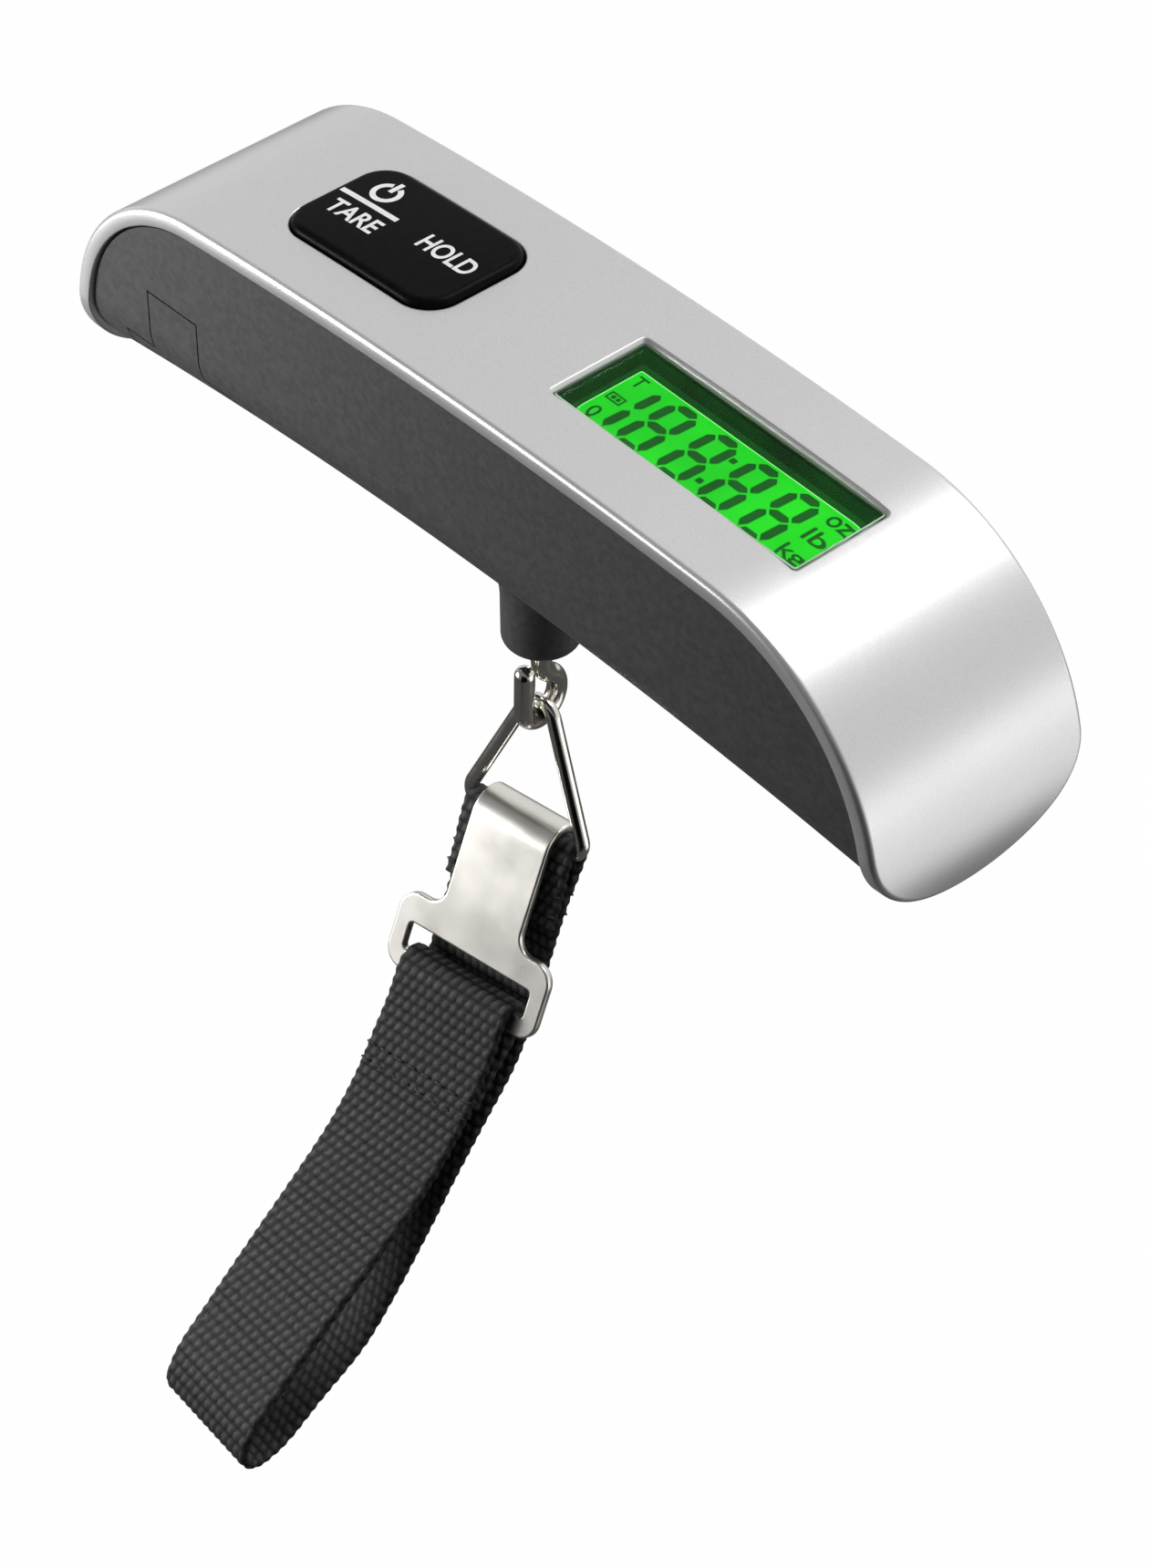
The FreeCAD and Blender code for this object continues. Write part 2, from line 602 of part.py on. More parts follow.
def make_hook():
    r, bz, bend_z = size("bowl_r"), size("bowl_z"), size("bend_top_z")
    drop = bend_z - bz
    phi = 2 * math.atan(r / drop)
    br = drop / (2 * math.sin(phi))
    mid = Vector(0, r / 2, bend_z - drop / 2)
    first = Vector(0, br * (1 - math.cos(phi / 2)), bend_z - br * math.sin(phi / 2))
    second = Vector(0, r - br * (1 - math.cos(phi / 2)), bz + br * math.sin(phi / 2))
    top = Vector(0, 0, size("shank_top_z"))
    tip_z = size("tip_z")
    edges = [
        Part.makeLine(top, Vector(0, 0, bend_z)),
        arc_edge(Vector(0, 0, bend_z), first, mid),
        arc_edge(mid, second, Vector(0, r, bz)),
        arc_edge(Vector(0, r, bz), Vector(0, 0, bz - r), Vector(0, -r, bz)),
        Part.makeLine(Vector(0, -r, bz), Vector(0, -r, tip_z)),
    ]
    rod = pipe_along(edges, size("rod_r"))
    cap = Part.makeSphere(size("rod_r"), Vector(0, -r, tip_z))
    collar = Part.makeCylinder(2.9, 1.5, Vector(0, 0, size("boss_bottom_z") + size("neck_wall") + 0.05))
    solid = rod.fuse([cap, collar]).removeSplitter()
    hook = feature("HookRod", solid, yawed())
    node(hook, "hook")


def make_hook_nut():
    across = 5.5
    z = size("beam_z") + size("beam_hgt")
    washer = cut("NeckWasherWhole",
                 cylinder("NeckWasherDisc", "3.5", "0.5", ("0", "0", str(z))),
                 cylinder("NeckWasherHole", "@rod_r + 0.1", "2", ("0", "0", str(z - 1))))
    node(washer, "hook_washer")
    corner = across / 2 / math.cos(math.pi / 6)
    points = [(corner * math.cos(k * math.pi / 3), corner * math.sin(k * math.pi / 3))
              for k in range(6)]
    sk = add_sketch("NutHex", loop(points), Placement(Vector(0, 0, z + 0.55), Rotation()))
    hexa = extrude("NutBody", sk, Vector(0, 0, 1), "4.0", both=False)
    bore = cylinder("NutBore", "@rod_r", "8", ("0", "0", str(z - 1)))
    return node(cut("NutWhole", hexa, bore), "hook_nut")


def fillet_path(corners, radii, closed):
    """Straight runs through the corners, joined by tangent arcs."""
    count = len(corners)
    arcs = []
    for i in range(count):
        here = corners[i]
        if not closed and i in (0, count - 1):
            arcs.append((here, None, here))
            continue
        back = (corners[i - 1] - here).normalize()
        ahead = (corners[(i + 1) % count] - here).normalize()
        half = back.getAngle(ahead) / 2
        reach = radii[i] / math.tan(half)
        centre = here + (back + ahead).normalize() * (radii[i] / math.sin(half))
        middle = centre + (here - centre).normalize() * radii[i]
        arcs.append((here + back * reach, middle, here + ahead * reach))
    edges = []
    for i, (a, m, b) in enumerate(arcs):
        if m is not None:
            edges.append(arc_edge(a, m, b))
        if i < count - 1 or closed:
            follow = arcs[(i + 1) % count][0]
            if (follow - b).Length > 1e-6:
                edges.append(Part.makeLine(b, follow))
    return edges


def ring_pivot():
    return Vector(0, 0, size("bowl_z") - size("bowl_r") + size("rod_r") + size("wire_r") + 0.03)


def bar_local():
    """The ring's bottom bar seen from its pivot, before the lean."""
    return Vector(0, 0, -size("ring_height"))


def make_ring():
    wide, tall, bend = size("ring_half_w") + 0.6, size("ring_height"), size("ring_apex_r")
    slant = math.atan2(wide, tall - bend) - math.asin(bend / math.hypot(wide, tall - bend))
    apex_rise = wide / math.tan(slant) - tall
    corners = [Vector(0, 0, apex_rise), Vector(-wide, 0, -tall), Vector(wide, 0, -tall)]
    radii = [bend, size("ring_corner_r"), size("ring_corner_r")]
    edges = fillet_path(corners, radii, True)
    edges = edges[-1:] + edges[:-1]
    ring = feature("RingWire", pipe_along(edges, size("wire_r")), leaned("ring_lean", ring_pivot()))
    return node(ring, "triangle_ring")


def bar_world_local():
    """The ring's bar in the un-yawed frame, after the ring's lean."""
    lean = Rotation(Vector(1, 0, 0), -size("ring_lean"))
    return ring_pivot() + lean.multVec(bar_local())


def make_clasp():
    """Pressed plate: a fold that hooks over the bar, a neck and a slotted foot."""
    thk, neck, tall = size("plate_thk"), size("plate_neck"), size("plate_len")
    inner, wide = size("fold_r"), size("plate_wid") / 2
    outer = inner + thk
    back_leg = -9.0
    fold_edges = [
        line((-outer, 0), (-outer, -10.0)),
        line((-outer, -10.0), (-inner, -10.0)),
        line((-inner, -10.0), (-inner, 0)),
        arc3((-inner, 0), (0, inner), (inner, 0)),
        line((inner, 0), (inner, back_leg)),
        line((inner, back_leg), (outer, back_leg)),
        line((outer, back_leg), (outer, 0)),
        arc3((outer, 0), (0, outer), (-outer, 0)),
    ]
    place = leaned("plate_lean", bar_world_local())
    fold_sk = add_sketch("FoldProfile", fold_edges, Placement(Vector(0, 0, 0), SIDEWAYS))
    fold = extrude("ClaspFold", fold_sk, Vector(1, 0, 0), "@plate_neck")
    half = neck / 2
    shoulder, foot = -tall + 12.2, -tall
    step = 3.2
    k = step * (1 - math.sqrt(0.5))
    slot_half = size("slot_len") / 2
    slot_low = foot + size("slot_bar")
    slot_top = slot_low + size("slot_hgt")
    edges = [
        line((-half, -6), (-half, shoulder + 4)),
        arc3((-half, shoulder + 4), (-half - 1.2, shoulder + 1.2), (-half - 4, shoulder)),
        line((-half - 4, shoulder), (-wide + step, shoulder)),
        arc3((-wide + step, shoulder), (-wide + k, shoulder - k), (-wide, shoulder - step)),
        line((-wide, shoulder - step), (-wide, foot + step)),
        arc3((-wide, foot + step), (-wide + k, foot + k), (-wide + step, foot)),
        line((-wide + step, foot), (wide - step, foot)),
        arc3((wide - step, foot), (wide - k, foot + k), (wide, foot + step)),
        line((wide, foot + step), (wide, shoulder - step)),
        arc3((wide, shoulder - step), (wide - k, shoulder - k), (wide - step, shoulder)),
        line((wide - step, shoulder), (half + 4, shoulder)),
        arc3((half + 4, shoulder), (half + 1.2, shoulder + 1.2), (half, shoulder + 4)),
        line((half, shoulder + 4), (half, -6)),
        line((half, -6), (-half, -6)),
    ]
    edges += loop([(-slot_half, slot_low), (slot_half, slot_low), (slot_half, slot_top),
                   (-slot_half, slot_top)])
    flat_sk = add_sketch("ClaspFlat", edges, Placement(Vector(0, -inner, 0), UPRIGHT))
    flat = extrude("ClaspFoot", flat_sk, Vector(0, -1, 0), "@plate_thk", both=False)
    whole = fuse("ClaspWhole", [fold, flat])
    whole.Placement = place
    return node(whole, "clasp_plate")


def offset_band(points, half):
    """Closed face made from a smooth middle line thickened both ways."""
    left, right = [], []
    for i, p in enumerate(points):
        a = points[max(i - 1, 0)]
        b = points[min(i + 1, len(points) - 1)]
        run = (b - a).normalize()
        side = Vector(0, -run.z, run.y)
        left.append(p + side * half)
        right.append(p - side * half)
    one, two = Part.BSplineCurve(), Part.BSplineCurve()
    one.interpolate(left)
    two.interpolate(right)
    ends = [Part.makeLine(left[-1], right[-1]), Part.makeLine(right[0], left[0])]
    return Part.Face(Part.Wire([one.toShape(), ends[0], two.toShape(), ends[1]]))


def plate_point(y, z):
    """A point given in the leaned plate's own frame, in the un-yawed frame."""
    lean = Rotation(Vector(1, 0, 0), -size("plate_lean"))
    return bar_world_local() + lean.multVec(Vector(0, y, z))


def slot_bar_middle():
    """Middle of the bar under the plate's slot."""
    return plate_point(-size("fold_r") - size("plate_thk") / 2,
                       -size("plate_len") + size("slot_bar") / 2)


def circle_run(centre, radius, start, stop, steps):
    out = []
    for i in range(steps + 1):
        ang = math.radians(start + (stop - start) * i / steps)
        out.append(centre + Vector(0, radius * math.cos(ang), radius * math.sin(ang)))
    return out


def strap_middle_line():
    """From the hem over the ring's bar, down behind the plate, round the loop and
    up to the plate's slot, where the end turns back round the slot's bar."""
    hug = size("wire_r") + size("web_thk") / 2 + 0.05
    lean = -size("plate_lean")
    hem = [plate_point(-0.85, -11.5), plate_point(-0.95, -7.0), plate_point(-1.45, -3.6)]
    over = circle_run(bar_world_local(), hug, 195 + lean, -15 + lean, 8)
    leave = [plate_point(1.45, -3.6), plate_point(0.95, -7.0), plate_point(0.9, -12.0)]
    swing = [(-10.9, -80.7), (-16.4, -92.2), (-22.6, -100.6), (-27.4, -108.6),
             (-31.6, -117.2), (-36.8, -125.6), (-43.6, -132.4), (-54.0, -136.2),
             (-62.5, -139.0), (-68.0, -138.2), (-70.0, -134.8), (-67.8, -130.6),
             (-60.6, -125.4), (-51.7, -118.9), (-42.6, -112.2), (-34.6, -105.6),
             (-28.8, -98.4), (-25.0, -92.0),
             (-21.7, -87.0)]
    grip = circle_run(slot_bar_middle(), 2.4, 152, -35, 7)
    tail = [slot_bar_middle() + Vector(0, y, z) for y, z in ((-0.5, -4.2), (-3.9, -7.4), (-7.8, -12.0))]
    return hem + over + leave + [Vector(0, y, z) for y, z in swing] + grip + tail


def make_strap():
    width = size("web_wid")
    edge = Vector(-width / 2, 0, 0)
    face = offset_band([p + edge for p in strap_middle_line()], size("web_thk") / 2)
    strap = feature("StrapLoop", face.extrude(Vector(width, 0, 0)), yawed())
    return node(strap, "strap")


# ---------------------------------------------------------------- leads
def make_leads():
    """Fine insulated leads inside the casing, held along their whole length."""
    board_low = size("board_z")
    gauge = []
    for i, y in enumerate((-4.2, -3.0, 3.0, 4.2)):
        x = 15.5 + 0.5 * i
        path = [Vector(x, y, size("beam_z") + size("beam_hgt") + 0.5),
                Vector(x + 12, y, size("beam_z") + size("beam_hgt") + 0.5),
                Vector(x + 12, y, board_low)]
        gauge.append(pipe_along(fillet_path(path, [0, 2.2, 0], False), 0.4))
    node(feature("GaugeLeads", Part.makeCompound(gauge), Placement()), "gauge_leads")
    power = []
    for x, y, side in ((size("cell_x") + 8, 6.8, 1), (size("cell_x") + 8, 4.6, 1)):
        path = [Vector(x, y, size("cell_z") + 6.7), Vector(x, y, 3.6),
                Vector(x + 13, y, 3.6), Vector(x + 13, y, board_low)]
        power.append(pipe_along(fillet_path(path, [0, 2.4, 2.4, 0], False), 0.5))
    node(feature("BatteryLeads", Part.makeCompound(power), Placement()), "battery_leads")


def check_and_write():
    DOC.recompute()
    for obj in DOC.Objects:
        for flag in ("Invalid", "Error"):
            if flag in obj.State:
                raise RuntimeError("%s is %s" % (obj.Label, flag))
    for obj in NODES:
        if obj.Shape.isNull() or not obj.Shape.isValid():
            raise RuntimeError("%s has no valid shape" % obj.Label)
        box_ = obj.Shape.BoundBox
        print("%-18s solids %d  volume %9.1f  x %.1f..%.1f  y %.1f..%.1f  z %.1f..%.1f" % (
            obj.Label, len(obj.Shape.Solids), obj.Shape.Volume, box_.XMin, box_.XMax,
            box_.YMin, box_.YMax, box_.ZMin, box_.ZMax))
    os.makedirs("parts", exist_ok=True)
    for obj in NODES:
        obj.Shape.exportStep("parts/%s.step" % obj.Label)


fill_sheet()
make_cover()
make_shell_and_door()
make_keypad()
make_display()
make_board()
make_load_cell()
make_casing_screws()
make_battery_bay()
make_hook()
make_hook_nut()
make_ring()
make_clasp()
make_strap()
make_leads()
check_and_write()
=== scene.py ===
# %% [markdown]
# # A hand-held luggage scale
# A luggage scale is an arched grip that weighs whatever hangs under it. A silver cover bends over the top
# and both ends, a dark shell closes it below, and a steel hook carries a wire ring, a pressed plate and a
# webbing loop. The exact solids are loaded first, and every visible skin is then built in the same frame,
# in metres.

# %% Load the exact solids
import json
import math
import bmesh
import bpy
import numpy as np
from mathutils import Matrix, Vector
from mathutils.geometry import delaunay_2d_cdt


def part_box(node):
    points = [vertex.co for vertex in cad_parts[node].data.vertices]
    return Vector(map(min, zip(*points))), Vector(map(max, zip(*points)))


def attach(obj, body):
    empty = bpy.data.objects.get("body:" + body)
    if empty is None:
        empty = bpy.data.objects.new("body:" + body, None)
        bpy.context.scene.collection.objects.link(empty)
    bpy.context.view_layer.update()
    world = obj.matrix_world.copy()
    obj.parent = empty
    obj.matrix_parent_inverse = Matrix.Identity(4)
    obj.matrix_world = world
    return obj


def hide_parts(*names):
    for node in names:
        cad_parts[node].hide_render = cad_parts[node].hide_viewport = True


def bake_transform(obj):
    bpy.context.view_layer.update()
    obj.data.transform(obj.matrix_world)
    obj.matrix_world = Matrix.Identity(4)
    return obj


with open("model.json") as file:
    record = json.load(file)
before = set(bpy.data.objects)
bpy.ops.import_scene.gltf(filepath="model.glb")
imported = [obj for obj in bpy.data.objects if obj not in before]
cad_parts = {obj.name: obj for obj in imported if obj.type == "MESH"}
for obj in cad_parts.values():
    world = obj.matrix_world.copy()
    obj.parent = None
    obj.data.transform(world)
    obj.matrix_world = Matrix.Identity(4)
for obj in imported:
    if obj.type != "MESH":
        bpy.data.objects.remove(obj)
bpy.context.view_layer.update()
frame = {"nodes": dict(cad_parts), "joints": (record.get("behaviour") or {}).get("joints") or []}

MM = 0.001

# %% [markdown]
# ## Small helpers
# A material is a chain of nodes, so short helpers keep each recipe readable. Every pattern reads Object
# coordinates or an attribute of the piece itself, so it stays on the piece when the joints move. Object
# coordinates are metres here, so a noise scale of 900 means grains of about a millimetre.

# %% Helpers for materials


def new_material(name):
    """A material with its node tree and its shader, ready for sockets to be set."""
    mat = bpy.data.materials.new(name)
    mat.use_nodes = True
    tree = mat.node_tree
    return mat, tree, tree.nodes["Principled BSDF"]


def put(tree, kind, **sockets):
    """Adds a node; each keyword sets the input of that name, underscores standing for spaces."""
    n = tree.nodes.new(kind)
    for key, value in sockets.items():
        n.inputs[key.replace("_", " ")].default_value = value
    return n


def join(tree, source, target):
    tree.links.new(source, target)


def object_coords(tree):
    return put(tree, "ShaderNodeTexCoord").outputs["Object"]


# %% Helpers for patterns


def noise(tree, where, scale, detail=2.0, rough=0.5):
    """A value from 0 to 1, mostly between 0.3 and 0.7."""
    n = put(tree, "ShaderNodeTexNoise", Scale=scale, Detail=detail, Roughness=rough)
    join(tree, where, n.inputs["Vector"])
    return n.outputs["Fac"]


def spread(tree, value, low, high, from_low=0.3, from_high=0.7):
    """Maps a value to the range low..high."""
    n = put(tree, "ShaderNodeMapRange", From_Min=from_low, From_Max=from_high, To_Min=low, To_Max=high)
    join(tree, value, n.inputs["Value"])
    return n.outputs["Result"]


def bump(tree, height, distance, strength=1.0, after=None):
    """Tilts the normal by a height; `after` is another bump's normal, for two grains at once."""
    n = put(tree, "ShaderNodeBump", Strength=strength, Distance=distance)
    join(tree, height, n.inputs["Height"])
    if after is not None:
        join(tree, after, n.inputs["Normal"])
    return n.outputs["Normal"]


def mix_colors(tree, factor, first, second):
    n = tree.nodes.new("ShaderNodeMix")
    n.data_type = "RGBA"
    n.inputs["A"].default_value = (*first, 1)
    n.inputs["B"].default_value = (*second, 1)
    join(tree, factor, n.inputs["Factor"])
    return n.outputs["Result"]


def stretched(tree, where, scale):
    """Coordinates squeezed by a scale for each axis, which draws a noise out into lines."""
    n = put(tree, "ShaderNodeMapping", Scale=scale)
    join(tree, where, n.inputs["Vector"])
    return n.outputs["Vector"]


# %% [markdown]
# ## Finishes of the grip
# The cover is sprayed with a silver lacquer: aluminium flakes under a satin clear coat. The flakes tilt the
# reflection a little at random, which is what makes the highlight on the bent end broad and soft. The shell
# is moulded in a spark-textured tool, so it needs a fine grain instead of a shine.

# %% Silver lacquer, grey plastic and black rubber


def silver_lacquer():
    mat, tree, bsdf = new_material("silver_lacquer")
    where = object_coords(tree)
    cloud = noise(tree, where, 45.0, 3.0)
    flake = noise(tree, where, 9000.0, 1.0)
    glint = spread(tree, flake, 0, 1, 0.35, 0.65)
    color = mix_colors(tree, glint, (0.555, 0.555, 0.555), (0.66, 0.66, 0.658))
    join(tree, color, bsdf.inputs["Base Color"])
    bsdf.inputs["Metallic"].default_value = 0.72
    join(tree, spread(tree, cloud, 0.33, 0.38), bsdf.inputs["Roughness"])
    join(tree, bump(tree, flake, 0.000004, 0.5), bsdf.inputs["Normal"])
    bsdf.inputs["Coat Weight"].default_value = 0.25
    bsdf.inputs["Coat Roughness"].default_value = 0.22
    return mat


def grained_plastic(name, color, lighter, grain, rough, shine=0.4):
    mat, tree, bsdf = new_material(name)
    where = object_coords(tree)
    coarse = noise(tree, where, 900.0, 3.0, 0.6)
    fine = noise(tree, where, 3200.0, 2.0, 0.6)
    tint = mix_colors(tree, spread(tree, coarse, 0, 1, 0.35, 0.65), color, lighter)
    join(tree, tint, bsdf.inputs["Base Color"])
    join(tree, spread(tree, fine, rough - 0.05, rough + 0.06), bsdf.inputs["Roughness"])
    first = bump(tree, coarse, grain, 0.8)
    join(tree, bump(tree, fine, grain * 0.5, 0.6, first), bsdf.inputs["Normal"])
    bsdf.inputs["Specular IOR Level"].default_value = shine
    return mat


SILVER = silver_lacquer()
ABS = grained_plastic("grey_abs", (0.046, 0.046, 0.047), (0.062, 0.062, 0.064), 0.00003, 0.42, 0.22)
RUBBER = grained_plastic("key_rubber", (0.0022, 0.0022, 0.0025), (0.004, 0.004, 0.0043), 0.000008, 0.36,
                         0.04)
PRINT = grained_plastic("white_print", (0.75, 0.75, 0.74), (0.85, 0.85, 0.84), 0.000003, 0.5)
print("grip finishes:", [m.name for m in (SILVER, ABS, RUBBER, PRINT)])

# %% [markdown]
# ## Metal finishes
# The hook, ring and plate are plated with bright nickel, which is slightly warm. Polishing leaves hairlines
# and handling leaves faint smudges, so the roughness is uneven and long thin noise bends the reflections.

# %% Nickel, steel and other small metals


def plated_metal(name, color, low, high, hairline, lines=(220, 220, 2600)):
    mat, tree, bsdf = new_material(name)
    where = object_coords(tree)
    smudge = noise(tree, where, 130.0, 4.0, 0.6)
    hairs = noise(tree, stretched(tree, where, lines), 1.0, 3.0)
    darker = tuple(c * 0.9 for c in color)
    join(tree, mix_colors(tree, spread(tree, smudge, 0, 1), darker, color), bsdf.inputs["Base Color"])
    bsdf.inputs["Metallic"].default_value = 1.0
    join(tree, spread(tree, smudge, low, high), bsdf.inputs["Roughness"])
    join(tree, bump(tree, hairs, hairline, 0.5), bsdf.inputs["Normal"])
    return mat


NICKEL = plated_metal("nickel", (0.78, 0.75, 0.69), 0.12, 0.24, 0.000006)
PLATE_NICKEL = plated_metal("nickel_plate", (0.80, 0.775, 0.725), 0.27, 0.36, 0.000005, (2600, 2600, 220))
ZINC = plated_metal("zinc_screw", (0.60, 0.60, 0.57), 0.28, 0.42, 0.000006)
CELL_STEEL = plated_metal("cell_steel", (0.70, 0.70, 0.69), 0.2, 0.34, 0.000004, (2500, 120, 120))
CONTACT = plated_metal("contact_strip", (0.80, 0.70, 0.45), 0.22, 0.36, 0.000004)
ALUMINIUM = plated_metal("aluminium", (0.76, 0.77, 0.78), 0.3, 0.42, 0.000007, (120, 2600, 2600))

# %% [markdown]
# ## Finishes of what is inside
# The battery's tray and its leads may be seen through the open battery door, and the rest isn't seen at all.
# Yet each has its own stuff: glossy solder mask, amber gauge film, milky light guide, poured epoxy. These
# solids are shown as they are, so they only need a material in their slot.

# %% Inner materials
BOARD = grained_plastic("solder_mask", (0.01, 0.085, 0.03), (0.015, 0.12, 0.045), 0.00001, 0.28)
EPOXY = grained_plastic("epoxy", (0.006, 0.006, 0.006), (0.012, 0.012, 0.012), 0.00001, 0.2)
WHITE = grained_plastic("white_plastic", (0.72, 0.72, 0.7), (0.8, 0.8, 0.78), 0.00001, 0.4)
AMBER = grained_plastic("gauge_film", (0.45, 0.2, 0.03), (0.55, 0.28, 0.06), 0.000005, 0.25)
PINK = grained_plastic("connector_rubber", (0.6, 0.34, 0.38), (0.68, 0.42, 0.45), 0.00001, 0.5)
RED = grained_plastic("red_lead", (0.4, 0.02, 0.015), (0.5, 0.03, 0.02), 0.000008, 0.35)


def light_guide():
    mat, tree, bsdf = new_material("light_guide")
    glow = noise(tree, object_coords(tree), 160.0, 2.0)
    join(tree, mix_colors(tree, glow, (0.5, 0.85, 0.4), (0.6, 0.95, 0.5)), bsdf.inputs["Base Color"])
    bsdf.inputs["Roughness"].default_value = 0.4
    return mat


NODE_FINISH = {
    "lower_shell": ABS, "battery_door": ABS, "lcd_backlight": light_guide(), "lcd_holder": WHITE,
    "battery_holder": WHITE, "zebra_strip": PINK, "main_board": BOARD, "tact_switches": ZINC,
    "control_chip": EPOXY, "load_cell": ALUMINIUM, "strain_gauges": AMBER, "load_cell_screws": ZINC,
    "casing_screws": ZINC, "coin_cell": CELL_STEEL, "contact_negative": CONTACT, "contact_positive": CONTACT,
    "hook": NICKEL, "hook_washer": ZINC, "hook_nut": ZINC, "triangle_ring": NICKEL, "gauge_leads": RED,
    "battery_leads": RED,
}


def give_finish(name, finish):
    """A solid's mesh stays as it is, and only its material slot is filled."""
    mesh = frame["nodes"][name].data
    mesh.materials.clear()
    mesh.materials.append(finish)


for name, finish in NODE_FINISH.items():
    give_finish(name, finish)
print(len(NODE_FINISH), "solids have their finish")

# %% [markdown]
# ## One builder for every moulded or pressed sheet
# The cover, the keypad and the clasp plate are all sheets: a flat outline, perhaps with holes, given a
# thickness and rounded edges, then bent. So they share one builder. It works on the flat pattern, where
# distances are true, and asks a `place` function where each point goes once the sheet is bent.
#
# An edge is a list of (step in from the outline, depth under the skin). Walking a closed outline through
# that list gives rounded rims and chamfers without any boolean or bevel, and the skin between them is
# triangulated.

# %% The sheet builder


def loop_normals(loop):
    """Inward normals of a closed loop that runs counter-clockwise."""
    ahead = np.roll(loop, -1, 0) - loop
    behind = loop - np.roll(loop, 1, 0)
    ahead /= np.linalg.norm(ahead, axis=1)[:, None]
    behind /= np.linalg.norm(behind, axis=1)[:, None]
    mean = ahead + behind
    mean /= np.linalg.norm(mean, axis=1)[:, None]
    stretch = 1 / np.clip((mean * ahead).sum(1), 0.6, 1)
    return np.stack([-mean[:, 1], mean[:, 0]], 1) * stretch[:, None]


def inside(points, loop):
    """Which points lie inside a closed loop: a line from such a point crosses it an odd number of times."""
    x, y = points[:, 0][:, None], points[:, 1][:, None]
    x1, y1 = loop[:, 0][None], loop[:, 1][None]
    x2, y2 = np.roll(loop[:, 0], -1)[None], np.roll(loop[:, 1], -1)[None]
    span = np.where(y2 == y1, 1e-12, y2 - y1)
    crossing = ((y1 > y) != (y2 > y)) & (x < (x2 - x1) * (y - y1) / span + x1)
    return crossing.sum(1) % 2 == 1


def near_loop(points, loop, gap):
    return np.min(np.linalg.norm(points[:, None] - loop[None], axis=2), axis=1) < gap


# %% [markdown]
# Between the outlines the sheet is filled with triangles. A constrained triangulation keeps every outline as
# it is drawn, and a grid of inner points gives the bend enough places to turn at.

# %% Filling between loops


def skin(loops, grid, gap):
    """Triangles that fill the first loop and leave the others open, over a grid of inner points."""
    keep = inside(grid, loops[0]) & ~near_loop(grid, loops[0], gap)
    for hole in loops[1:]:
        keep &= ~inside(grid, hole) & ~near_loop(grid, hole, gap)
    grid = grid[keep]
    points = np.concatenate(loops + [grid])
    edges, start = [], 0
    for loop in loops:
        n = len(loop)
        edges += [(start + i, start + (i + 1) % n) for i in range(n)]
        start += n
    verts, _, faces, origin, _, _ = delaunay_2d_cdt([Vector(p) for p in points], edges, [], 0, 1e-6)
    flat = np.array([list(v) for v in verts])
    tris = np.array([f for f in faces if len(f) == 3])
    middles = flat[tris].mean(1)
    good = inside(middles, loops[0])
    for hole in loops[1:]:
        good &= ~inside(middles, hole)
    back = [o[0] for o in origin]
    return grid, [[back[i] for i in f] for f in tris[good]]


# %% Edges and mesh objects


def round_edge(radius, depth, steps=6, low=0.2):
    """Edge profile from the underside up: small round below, straight wall, larger round on top."""
    out = [(low, depth), (low * 0.3, depth - low * 0.3), (0.0, depth - low)]
    for k in range(steps + 1):
        t = math.pi / 2 * k / steps
        out.append((radius * (1 - math.cos(t)), radius * (1 - math.sin(t))))
    return out + [(radius + 0.12, 0.0)]


def make_object(name, points, faces, material, smooth=True):
    """A mesh object at the origin, with its place in its points, which are in metres."""
    mesh = bpy.data.meshes.new(name)
    mesh.from_pydata([tuple(p) for p in points], [], faces)
    mesh.update()
    mesh.polygons.foreach_set("use_smooth", [smooth] * len(mesh.polygons))
    mesh.materials.append(material)
    obj = bpy.data.objects.new(name, mesh)
    bpy.context.scene.collection.objects.link(obj)
    return obj


# %% The bent sheet


def bent_sheet(name, outline, holes, edge, hole_edges, place, grid, gap, material):
    """outline and holes in mm, counter-clockwise; place(u, v, depth) gives points in mm."""
    points, faces, tops, lows, base = [], [], [], [], 0
    for k, (loop, profile) in enumerate(zip([outline] + holes, [edge] + hole_edges)):
        inward = loop_normals(loop) * (1 if k == 0 else -1)
        n = len(loop)
        rings = [loop + inward * step for step, _ in profile]
        for ring, (_, depth) in zip(rings, profile):
            points.append(np.column_stack([ring, np.full(n, depth)]))
        for r in range(len(profile) - 1):
            for i in range(n):
                j = (i + 1) % n
                quad = [base + r * n + i, base + r * n + j, base + (r + 1) * n + j, base + (r + 1) * n + i]
                faces.append(quad if k == 0 else quad[::-1])
        lows.append((rings[0], base))
        tops.append((rings[-1], base + (len(profile) - 1) * n))
        base += len(profile) * n
    for side, depth, flip in ((tops, 0.0, False), (lows, edge[0][1], True)):
        inner, tris = skin([ring for ring, _ in side], grid, gap)
        lookup = np.concatenate([at + np.arange(len(ring)) for ring, at in side]
                                + [base + np.arange(len(inner))])
        points.append(np.column_stack([inner, np.full(len(inner), depth)]))
        base += len(inner)
        for tri in tris:
            ids = [int(lookup[i]) for i in tri]
            faces.append(ids[::-1] if flip else ids)
    flat = np.concatenate(points)
    solid = place(flat[:, 0], flat[:, 1], flat[:, 2]) * MM
    obj = make_object(name, solid, faces, material)
    outward(obj)
    print(name, "has", len(obj.data.polygons), "faces")
    return obj


def outward(obj):
    """Turns the normals outward, once the mesh is closed."""
    bm = bmesh.new()
    bm.from_mesh(obj.data)
    bmesh.ops.recalc_face_normals(bm, faces=bm.faces)
    bm.to_mesh(obj.data)
    bm.free()


# %% A rounded outline


